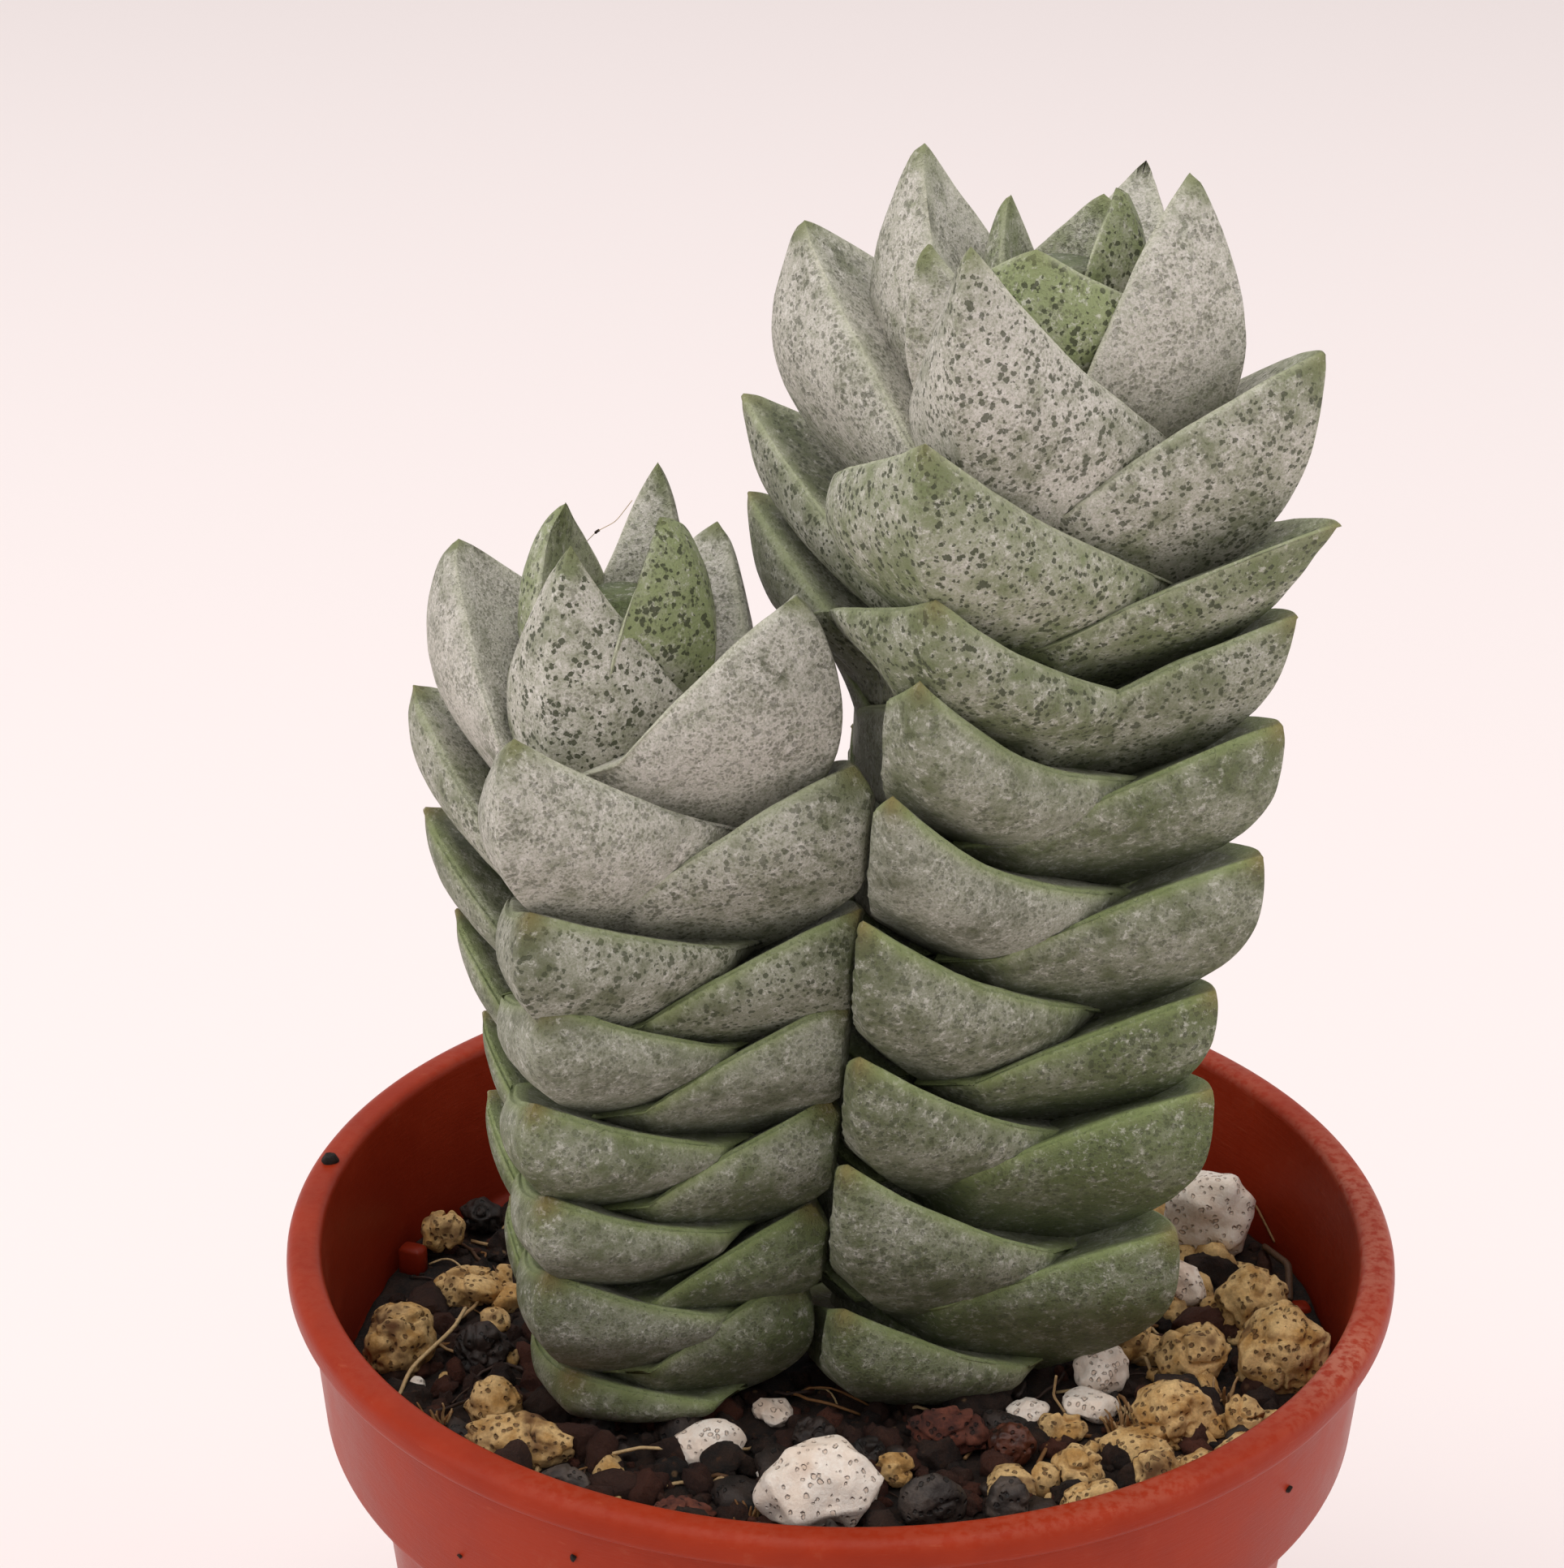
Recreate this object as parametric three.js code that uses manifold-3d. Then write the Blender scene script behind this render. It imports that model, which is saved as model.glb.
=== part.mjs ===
// A crassula deceptor in a plastic nursery pot: two leafy stems, soil and loose stones.
// Millimetres, +Z up, the origin at the centre of the pot's underside.
// The photograph's camera looks along +Y, so -Y is the front and +X is the right.
import * as THREE from "three";
import { mergeVertices } from "three/addons/utils/BufferGeometryUtils.js";
import Module from "manifold-3d";

const manifold = await Module();
manifold.setup();

// Driving dimensions of the pot
const POT_HEIGHT = 48;
const RIM_RADIUS = 27.5;
const RIM_BEAD = 1.5;
const RIM_OVERHANG = 0.8;
const COLLAR_HEIGHT = 9.4;
const COLLAR_FOOT_RADIUS = 25.9;
const STEP_INWARD = 2.2;
const STEP_HEIGHT = 0.7;
const BASE_RADIUS = 19.6;
const WALL = 0.9;
const FLOOR = 1.2;
const POT_SIDES = 54;
const DRAIN_HOLES = 4;
const DRAIN_RADIUS = 2;
const DRAIN_CIRCLE = 12;
const RIB_COUNT = 12;
const RIB_WIDTH = 1;
const RIB_DEPTH = 0.5;
const RIB_TOP = 40.6;
const RIB_TURN = 10;

// Driving dimensions of the soil
const SOIL_LEVEL = 40;
const SOIL_RISE_RIGHT = 0.03;
const SOIL_RISE_FRONT = 0.04;
const SOIL_RELIEF = 0.35;
const SOIL_RINGS = 7;
const SOIL_SIDES = 32;
const CRUMBS = 22;
const CRUMB_SIZE = [0.5, 1];
const GAP = 0.3;
const STEM_HOLE_DEPTH = 6;

// Driving dimensions of the two stems: where the axis leaves the soil, where it ends, how far it bows
// sideways between the two, the turn of the front rank of leaves at the soil and at the top, how far the
// leaves' two corners stand from the axis, and how full the leaves' shoulders are
const TALL_STEM = {
  foot: [4.1, 0.7],
  top: [9.1, 0.4],
  length: 57,
  bow: 0.5,
  turnAtFoot: -34,
  turnAtTop: -24,
  coreAtFoot: 5,
  coreAtTop: 1.6,
  cornerAtFoot: 7.4,
  cornerAtTop: 7.8,
  shoulder: 1.38,
};
const SHORT_STEM = {
  foot: [-9.1, -2.2],
  top: [-10.5, -2.1],
  length: 42,
  bow: 0.6,
  turnAtFoot: -27,
  turnAtTop: -23,
  coreAtFoot: 4.2,
  coreAtTop: 1.3,
  cornerAtFoot: 6.2,
  cornerAtTop: 7.2,
  shoulder: 1.1,
};

// The four ranks of leaves, as turns from the front one
const RANK_TURN = { front: 0, right: 90, back: 180, left: 270 };

// Leaves from the top down: rank, height of the tip above the soil, reach of the tip from the stem's axis,
// drop from the tip to the two corners, height of the outer face, how far its belly stands out, and where
// they differ from the rest, the turn off the rank, the share of the full width and how far the base lies
// to one side of the tip
const TALL_LEAVES = [
  ["left", 60.1, 2.8, 6.5, 9, 2.4, 0, 0.45],
  ["right", 60.0, 2.2, 6.5, 9, 3, 0, 0.55],
  ["front", 58.7, 6.4, 4.5, 8, 2, 10, 0.62],
  ["back", 59.3, 5.2, 6, 9, 2, 0, 0.7],
  ["front", 59.1, 7.4, 6, 9, 2, -34, 0.6],
  ["left", 61.9, 7.1, 10.5, 14, 5, 0, 0.78],
  ["right", 62.0, 5.7, 10.5, 14, 5.6, 0, 0.82],
  ["front", 60.8, 11.2, 10, 13.4, 2.4, -1, 0.86, 0.4],
  ["back", 59.6, 10.9, 11, 13, 2.4, 0, 0.62],
  ["left", 57.7, 12.8, 9, 12.4, 3.6],
  ["right", 54.9, 12.7, 7.8, 11.6, -0.5],
  ["front", 52.7, 13.2, 8, 10.5, 0.6, -2],
  ["back", 52.4, 13.2, 8, 10.5, 0.6],
  ["left", 48.8, 15.5, 7.4, 8.5, -1.6],
  ["right", 47.4, 14.6, 6.5, 8.4, -4],
  ["front", 45.5, 12.4, 6.8, 7.6, 0.2, 3],
  ["back", 45.2, 13.2, 6.8, 8, 0.2],
  ["left", 44.0, 15.0, 6.6, 8, -1.4],
  ["right", 42.9, 13.3, 6.3, 8.4, -1.4],
  ["front", 41.7, 12.4, 7, 8.6, 0.2, 2],
  ["back", 40.8, 13.0, 7, 8.6, 0.2],
  ["left", 37.6, 11.5, 6.2, 8.2, 0.2, -18],
  ["right", 37.7, 13.4, 6.2, 8.4, 0],
  ["front", 36.0, 12.6, 7, 8.8, 0.2],
  ["back", 35.4, 13.0, 7, 8.8, 0.2],
  ["left", 31.4, 11.2, 6, 8.6, 0.2, -18],
  ["right", 31.3, 13.6, 5.8, 9, -0.2],
  ["front", 29.8, 12.8, 7, 9.2, 0.2, -2],
  ["back", 29.0, 12.8, 6.8, 9, 0.2],
  ["left", 24.6, 11.0, 5.8, 8, 0.2, -16],
  ["right", 24.1, 12.5, 5.2, 7.6, 0],
  ["front", 22.6, 12.2, 6.6, 8.4, 0.3, 1],
  ["back", 22.0, 12.4, 6.4, 8.4, 0.3],
  ["left", 18.6, 10.6, 5.4, 8.6, 0.3, -14],
  ["right", 19.2, 13.3, 5.4, 9.2, 0],
  ["front", 16.5, 11.6, 6.6, 9.4, 0.6, 1],
  ["back", 15.6, 12.0, 6.2, 9, 0.3],
  ["left", 11.4, 10.2, 5, 8.4, 0.3, -12],
  ["right", 11.3, 12.8, 4.8, 8.8, 0.4],
  ["front", 7.9, 10.2, 5, 6.8, 1, 4],
  ["back", 7.6, 10.4, 5, 6.6, 0.6],
];
const SHORT_LEAVES = [
  ["left", 46.5, 2.6, 7, 11, 4.2, 0, 0.62],
  ["right", 46.5, 2.9, 7, 11, 4.5, 0, 0.8],
  ["front", 46.3, 4.8, 8, 14, 4.8, 3, 0.7, 0.7],
  ["back", 47.1, 5.6, 11, 13.4, 3.5, 0, 0.52],
  ["left", 43.8, 8.6, 8.4, 11.8, 3.4, 0, 0.92, -0.4],
  ["right", 43.7, 9.4, 8, 12.2, 4.2],
  ["front", 39.2, 11.0, 6.4, 9.8, 2.6, -1, 0.9, 1],
  ["back", 42.4, 10.9, 8.4, 11, 2, 0, 0.85],
  ["left", 35.8, 12.2, 7, 9, -0.2, 0, 0.95, -0.6],
  ["right", 35.9, 11.7, 5.6, 9.6, 2.6],
  ["front", 30.9, 11.2, 4.2, 7.4, 1.6, 0, 0.95, 0.8],
  ["back", 33.2, 10.4, 6, 8.4, 1],
  ["left", 29.2, 12.3, 5.4, 7.8, -1.6, 0, 0.95, -0.8],
  ["right", 28.8, 11.7, 4.6, 7.2, 1.6],
  ["front", 26.3, 10.6, 4.8, 7, 1.4, 1],
  ["back", 27.0, 10.0, 5, 7.4, 1],
  ["left", 24.0, 11.1, 5, 7.2, -1.5, 0, 0.95, -0.6],
  ["right", 24.1, 10.9, 4.8, 6.8, 1.6],
  ["front", 20.7, 10.6, 4.4, 6.6, 1.4, -4],
  ["back", 21.4, 9.8, 4.6, 7.2, 1],
  ["left", 18.6, 10.0, 4.4, 6.6, -1.2, 0, 0.95, -0.4],
  ["right", 18.5, 9.8, 4, 7, 1.6],
  ["front", 15.5, 10.2, 4, 6, 1.4, -3],
  ["back", 16.0, 9.4, 4.2, 6.8, 1],
  ["left", 14.1, 10.0, 4, 7, -0.8],
  ["right", 12.5, 8.9, 3.6, 5.6, 1.6],
  ["front", 10.9, 9.4, 4, 6.6, 1.4, -6],
  ["back", 10.8, 9.0, 4, 6.4, 1],
  ["left", 8.3, 9.0, 3.8, 6.2, -0.4],
  ["right", 8.3, 7.8, 3.8, 6.8, 2],
  ["front", 3.7, 7.4, 2.4, 3.2, 1, -7],
  ["back", 5.2, 7.6, 3, 4.4, 0.8],
];

// The shape that every leaf shares
const LEAF_CORNER_ANGLE = 64;
const LEAF_STATIONS = [0.12, 0.3, 0.54, 0.8, 1];
const LEAF_WIDEST = 0.8;
const LEAF_ARC_POINTS = 7;
const LEAF_HOLLOW = 0.08;

// Where the two stems press against each other: a steep face between them that bends towards one stem or
// the other from front to back (Y and the shift in X), and reaches up to the free leaves
const PRESS_X_AT_SOIL = -1.9;
const PRESS_LEAN = 0.082;
const PRESS_BENDS = [
  [-11, -0.3],
  [-5.5, 0.8],
  [-1, -0.7],
];
const PRESS_TOP_FRONT = 45;
const PRESS_TOP_BACK = 41;
const PRESS_TOP_DROPS_AT = [-3, 0];
const PRESS_FADE = 4;
const PRESS_SOFT = 0.05;

// Edges shorter than this along a cut are merged
const SLIVER = 0.04;

const lerp = THREE.MathUtils.lerp;
const degToRad = THREE.MathUtils.degToRad;

// A closed solid as a manifold, from a three.js geometry whose faces may all face out or all face in
function solidOf(geometry) {
  const bare = (geometry.index ? geometry.toNonIndexed() : geometry).clone();
  const positions = new THREE.BufferGeometry().setAttribute("position", bare.getAttribute("position"));
  const merged = mergeVertices(positions, 1e-4);
  const make = (triVerts) =>
    new manifold.Manifold(
      new manifold.Mesh({ numProp: 3, vertProperties: merged.attributes.position.array, triVerts }),
    );
  const solid = make(new Uint32Array(merged.index.array));
  return solid.volume() > 0 ? solid : make(new Uint32Array(merged.index.array).reverse());
}

// A three.js geometry from a manifold
function geometryOf(solid) {
  const mesh = solid.getMesh();
  const positions = new Float32Array(mesh.numVert * 3);
  for (let i = 0; i < mesh.numVert; i++) {
    const start = i * mesh.numProp;
    positions.set(mesh.vertProperties.subarray(start, start + 3), i * 3);
  }
  const geometry = new THREE.BufferGeometry()
    .setAttribute("position", new THREE.BufferAttribute(positions, 3))
    .setIndex(new THREE.BufferAttribute(mesh.triVerts, 1));
  geometry.computeVertexNormals();
  return geometry;
}

// The largest outer body of a solid, with any pocket of air sealed inside it filled
// and with slivers along the cuts smoothed away
function outerBody(solid) {
  const bodies = solid.asOriginal().simplify(SLIVER).decompose();
  return bodies.reduce((best, body) => (body.volume() > best.volume() ? body : best));
}

// A seeded random number source, from 0 to 1
function randomSource(seed) {
  let state = seed * 7919 + 104729;
  return () => {
    state = (state * 1103515245 + 12345) % 2147483648;
    return state / 2147483648;
  };
}

// A closed skin over rings of points, from a first point to a last point
function skinOfRings(first, rings, last) {
  const points = [first, ...rings.flat(), last];
  const size = rings[0].length;
  const faces = [];
  for (let k = 0; k < size; k++) {
    const next = (k + 1) % size;
    faces.push(0, 1 + k, 1 + next);
    for (let r = 0; r + 1 < rings.length; r++) {
      const here = 1 + r * size;
      const there = here + size;
      faces.push(here + k, there + k, here + next);
      faces.push(here + next, there + k, there + next);
    }
    const end = 1 + (rings.length - 1) * size;
    faces.push(points.length - 1, end + next, end + k);
  }
  const flat = new Float32Array(points.flatMap((p) => [p.x, p.y, p.z]));
  return new THREE.BufferGeometry().setAttribute("position", new THREE.BufferAttribute(flat, 3)).setIndex(faces);
}

// A point of the stem's axis at a height above the soil
function axisAt(stem, height) {
  const share = Math.max(height, 0) / stem.length;
  const bow = stem.bow * (1 - (2 * share - 1) ** 2);
  return new THREE.Vector3(
    lerp(stem.foot[0], stem.top[0], share) + bow,
    lerp(stem.foot[1], stem.top[1], share),
    SOIL_LEVEL + height,
  );
}

// The leaf's margin from tip to base in its own frame: X out from the stem, Y across, Z up, from the tip.
// It runs over a full shoulder to the corner, then turns in to the stem
function marginAt(leaf, share) {
  const { reach, out, across, drop, shoulder } = leaf;
  if (share <= LEAF_WIDEST) {
    const curve = new THREE.CubicBezierCurve3(
      new THREE.Vector3(reach, 0, 0),
      new THREE.Vector3(lerp(reach, out, 0.15), 0.6 * across, -0.33 * drop),
      new THREE.Vector3(lerp(reach, out, 0.58), shoulder * across, -0.67 * drop),
      new THREE.Vector3(out, across, -drop),
    );
    return curve.getPoint(share / LEAF_WIDEST);
  }
  const t = (share - LEAF_WIDEST) / (1 - LEAF_WIDEST);
  return new THREE.Vector3(lerp(out, -0.5, t), across * (1 - 0.5 * t * t), -drop - 1.2 * t);
}

// The leaf's keel from tip to base: down over the belly, then in under it to the stem
function keelAt(leaf, share) {
  const { reach, face, belly } = leaf;
  const curve = new THREE.CubicBezierCurve3(
    new THREE.Vector3(reach, 0, 0),
    new THREE.Vector3(reach + 0.5 * belly, 0, -0.33 * face),
    new THREE.Vector3(reach + belly, 0, -0.97 * face),
    new THREE.Vector3(0, 0, -1.1 * face),
  );
  return curve.getPoint(share ** 0.9);
}

// One ring round the leaf: the rounded outer face from margin to margin, then the upper face's middle
function leafRing(leaf, share) {
  const shift = leaf.aside * share;
  const margin = marginAt(leaf, share);
  const keel = keelAt(leaf, share);
  const middle = new THREE.Vector3(margin.x, 0, margin.z);
  const depth = keel.clone().sub(middle);
  const ring = [];
  for (let k = 0; k < LEAF_ARC_POINTS; k++) {
    const angle = (Math.PI * k) / (LEAF_ARC_POINTS - 1);
    const across = Math.sign(Math.cos(angle)) * Math.abs(Math.cos(angle)) ** 0.85 * margin.y;
    ring.push(
      middle
        .clone()
        .addScaledVector(depth, Math.sin(angle) ** 0.85)
        .setY(across + shift),
    );
  }
  ring.push(middle.clone().addScaledVector(depth, LEAF_HOLLOW).setY(shift));
  return ring;
}

// One leaf as a solid in its place on the stem
function leafSolid(stem, [rank, height, reach, drop, face, belly, turn = 0, width = 1, aside = 0], press) {
  const share = height / stem.length;
  const corner = lerp(stem.cornerAtFoot, stem.cornerAtTop, share) * width;
  const out = corner * Math.cos(degToRad(LEAF_CORNER_ANGLE));
  const across = corner * Math.sin(degToRad(LEAF_CORNER_ANGLE));
  const leaf = { reach, drop, face, belly, out, across, aside, shoulder: stem.shoulder };
  const tip = new THREE.Vector3(reach, 0, 0);
  const rings = LEAF_STATIONS.map((s) => leafRing(leaf, s));
  const last = marginAt(leaf, 1).setY(0).lerp(keelAt(leaf, 1), 0.5).setY(aside);
  const skin = skinOfRings(tip, rings, last);
  const heading = lerp(stem.turnAtFoot, stem.turnAtTop, share) + RANK_TURN[rank] + turn - 90;
  skin.rotateZ(degToRad(heading));
  const axis = axisAt(stem, height);
  skin.translate(axis.x, axis.y, axis.z);
  pressPoints(skin, press);
  return solidOf(skin);
}

// How far the pressed face is shifted in X at one Y
function pressBend(y) {
  const after = PRESS_BENDS.findIndex((bend) => bend[0] > y);
  if (after === 0) return PRESS_BENDS[0][1];
  if (after < 0) return PRESS_BENDS[PRESS_BENDS.length - 1][1];
  const [from, to] = [PRESS_BENDS[after - 1], PRESS_BENDS[after]];
  return THREE.MathUtils.mapLinear(y, from[0], to[0], from[1], to[1]);
}

// Leaves that meet the other stem are pressed nearly flat along the face between the two stems
function pressPoints(geometry, side) {
  const points = geometry.getAttribute("position");
  for (let i = 0; i < points.count; i++) {
    const x = points.getX(i);
    const y = points.getY(i);
    const height = points.getZ(i) - SOIL_LEVEL;
    const face = PRESS_X_AT_SOIL + PRESS_LEAN * height + pressBend(y) + side * GAP * 0.6;
    const top = THREE.MathUtils.mapLinear(
      THREE.MathUtils.clamp(y, ...PRESS_TOP_DROPS_AT),
      ...PRESS_TOP_DROPS_AT,
      PRESS_TOP_FRONT,
      PRESS_TOP_BACK,
    );
    const hold = THREE.MathUtils.clamp((top - height) / PRESS_FADE, 0, 1);
    const past = side * (face - x);
    if (past > 0) points.setX(i, x + side * past * hold * (1 - PRESS_SOFT) + side * PRESS_SOFT * hold * 2);
  }
}

// A leafy stem: every leaf and the stem they grow from, fused into one solid
function leafyStem(stem, leaves, side) {
  const rings = [-STEM_HOLE_DEPTH + GAP, 0, stem.length * 0.35, stem.length * 0.7, stem.length].map((height) => {
    const share = THREE.MathUtils.clamp(height / stem.length, 0, 1);
    const radius = lerp(stem.coreAtFoot, stem.coreAtTop, share);
    return Array.from({ length: 12 }, (_, k) => {
      const angle = (2 * Math.PI * k) / 12;
      const outward = new THREE.Vector3(Math.cos(angle), Math.sin(angle), 0);
      return axisAt(stem, height).addScaledVector(outward, radius);
    });
  });
  const first = axisAt(stem, -STEM_HOLE_DEPTH + GAP);
  const last = axisAt(stem, stem.length);
  const core = skinOfRings(first, rings, last);
  const solids = [solidOf(core), ...leaves.map((leaf) => leafSolid(stem, leaf, side))];
  return outerBody(manifold.Manifold.union(solids));
}

// The outer radius of the pot's wall at a height, below the rim's bead
function wallRadius(height) {
  const collarFoot = POT_HEIGHT - COLLAR_HEIGHT;
  const bodyTop = COLLAR_FOOT_RADIUS - STEP_INWARD;
  if (height < collarFoot - STEP_HEIGHT) return lerp(BASE_RADIUS, bodyTop, height / (collarFoot - STEP_HEIGHT));
  if (height < collarFoot) return lerp(bodyTop, COLLAR_FOOT_RADIUS, (height - collarFoot + STEP_HEIGHT) / STEP_HEIGHT);
  return lerp(COLLAR_FOOT_RADIUS, RIM_RADIUS - RIM_OVERHANG, (height - collarFoot) / COLLAR_HEIGHT);
}

// A straight bar that stands on the inside of the pot's wall, at a turn about the pot's axis
function ribSolid(turn, extra) {
  const foot = POT_HEIGHT - COLLAR_HEIGHT - 0.2 - extra;
  const height = RIB_TOP - foot + extra;
  const bar = new THREE.BoxGeometry(RIB_DEPTH + WALL + extra, RIB_WIDTH + 2 * extra, height);
  const outer = wallRadius(foot + extra) - WALL / 2;
  bar.translate(outer - (RIB_DEPTH + WALL + extra) / 2, 0, foot + height / 2);
  bar.rotateZ(degToRad(turn));
  return solidOf(bar);
}

function ribTurns() {
  return Array.from({ length: RIB_COUNT }, (_, k) => RIB_TURN + (360 * k) / RIB_COUNT);
}

// The pot: a turned wall with a rounded rim, a collar, a step, a floor with drain holes, and ribs inside
function potSolid() {
  const collarFoot = POT_HEIGHT - COLLAR_HEIGHT;
  const bead = RIM_BEAD / 2;
  const beadCentre = new THREE.Vector2(RIM_RADIUS - bead, POT_HEIGHT - bead);
  const beadArc = Array.from({ length: 7 }, (_, k) => {
    const angle = degToRad(-70 + (250 * k) / 6);
    return new THREE.Vector2(beadCentre.x + bead * Math.cos(angle), beadCentre.y + bead * Math.sin(angle));
  });
  const below = POT_HEIGHT - RIM_BEAD - 0.2;
  const profile = [
    new THREE.Vector2(0, 0),
    new THREE.Vector2(BASE_RADIUS - 0.5, 0),
    new THREE.Vector2(BASE_RADIUS, 0.5),
    new THREE.Vector2(wallRadius(collarFoot - STEP_HEIGHT), collarFoot - STEP_HEIGHT),
    new THREE.Vector2(COLLAR_FOOT_RADIUS - 0.35, collarFoot - 0.1),
    new THREE.Vector2(COLLAR_FOOT_RADIUS, collarFoot + 0.3),
    new THREE.Vector2(wallRadius(below), below),
    ...beadArc,
    new THREE.Vector2(wallRadius(below) - WALL, below),
    new THREE.Vector2(wallRadius(collarFoot + 0.2) - WALL, collarFoot + 0.2),
    new THREE.Vector2(wallRadius(collarFoot - STEP_HEIGHT) - WALL, collarFoot - STEP_HEIGHT),
    new THREE.Vector2(wallRadius(FLOOR) - WALL, FLOOR),
    new THREE.Vector2(0, FLOOR),
  ];
  const wall = solidOf(new THREE.LatheGeometry(profile, POT_SIDES).rotateX(Math.PI / 2));
  const ribs = ribTurns().map((turn) => ribSolid(turn, 0));
  const holes = Array.from({ length: DRAIN_HOLES }, (_, k) => {
    const angle = (2 * Math.PI * (k + 0.5)) / DRAIN_HOLES;
    const drill = new THREE.CylinderGeometry(DRAIN_RADIUS, DRAIN_RADIUS, 4 * FLOOR, 16).rotateX(Math.PI / 2);
    return solidOf(drill.translate(DRAIN_CIRCLE * Math.cos(angle), DRAIN_CIRCLE * Math.sin(angle), 0));
  });
  return manifold.Manifold.union([wall, ...ribs]).subtract(manifold.Manifold.union(holes));
}

// The height of the soil's surface before its small relief: it lies higher at the front right
function soilLevel(x, y) {
  return SOIL_LEVEL + SOIL_RISE_RIGHT * x - SOIL_RISE_FRONT * y;
}

// The soil that fills the pot, with its relief and crumbs, and with room for the stems, stones and ribs
function soilSolid(stems, stoneList) {
  const random = randomSource(5);
  const collarFoot = POT_HEIGHT - COLLAR_HEIGHT;
  const phases = Array.from({ length: 6 }, () => 2 * Math.PI * random());
  const relief = (x, y) =>
    (SOIL_RELIEF / 3) *
    (Math.sin(0.9 * x + phases[0]) * Math.cos(0.8 * y + phases[1]) +
      Math.sin(1.7 * x - 0.6 * y + phases[2]) +
      Math.sin(0.5 * x + 1.9 * y + phases[3]));
  const ringAt = (radius, height) =>
    Array.from({ length: SOIL_SIDES }, (_, k) => {
      const angle = (2 * Math.PI * k) / SOIL_SIDES;
      const x = radius * Math.cos(angle);
      const y = radius * Math.sin(angle);
      return new THREE.Vector3(x, y, height ?? Math.max(soilLevel(x, y) + relief(x, y), collarFoot + 0.7));
    });
  const bodyTop = collarFoot - STEP_HEIGHT;
  const inside = (height) => wallRadius(height) - WALL - GAP / Math.cos(Math.PI / POT_SIDES) - 0.05;
  const outer = inside(collarFoot + 0.6);
  const top = Array.from({ length: SOIL_RINGS }, (_, k) => ringAt((outer * (k + 1)) / SOIL_RINGS));
  const sides = [
    ringAt(inside(collarFoot + 0.2) - 0.1, collarFoot + 0.35),
    ringAt(inside(bodyTop) - 0.1, bodyTop + 0.1),
    ringAt(inside(FLOOR), FLOOR + GAP),
  ];
  const centre = new THREE.Vector3(0, 0, soilLevel(0, 0) + relief(0, 0));
  const base = new THREE.Vector3(0, 0, FLOOR + GAP);
  const body = solidOf(skinOfRings(centre, [...top, ...sides], base));
  const crumbs = [];
  while (crumbs.length < CRUMBS) {
    const radius = (outer - 1.4) * Math.sqrt(random());
    const angle = 2 * Math.PI * random();
    const size = lerp(CRUMB_SIZE[0], CRUMB_SIZE[1], random());
    const x = radius * Math.cos(angle);
    const y = radius * Math.sin(angle);
    const crumb = new THREE.IcosahedronGeometry(size, 0).scale(1, 0.8, 0.75).rotateZ(angle * 5);
    crumbs.push(solidOf(crumb.translate(x, y, soilLevel(x, y) + relief(x, y) + 0.15 * size)));
  }
  const heaped = manifold.Manifold.union([body, ...crumbs]);
  const cuts = [];
  for (const { stem, leaves, side } of stems) {
    const hole = new THREE.CylinderGeometry(stem.coreAtFoot + GAP, stem.coreAtFoot + GAP, 2 * STEM_HOLE_DEPTH, 24);
    hole.rotateX(Math.PI / 2).translate(stem.foot[0], stem.foot[1], SOIL_LEVEL);
    cuts.push(solidOf(hole));
    for (const [rank, height, reach, drop, face, belly, turn, width = 1] of leaves.filter((leaf) => leaf[1] < 13)) {
      const room = [rank, height - GAP, reach + GAP, drop + 0.1, face, belly + GAP, turn, width * 1.08];
      cuts.push(leafSolid(stem, room, side));
    }
  }
  for (const stone of stoneList) cuts.push(solidOf(stoneGeometry(stone, GAP + 0.05)));
  for (const turn of ribTurns()) cuts.push(ribSolid(turn, GAP));
  return outerBody(heaped.subtract(manifold.Manifold.union(cuts)));
}

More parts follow.
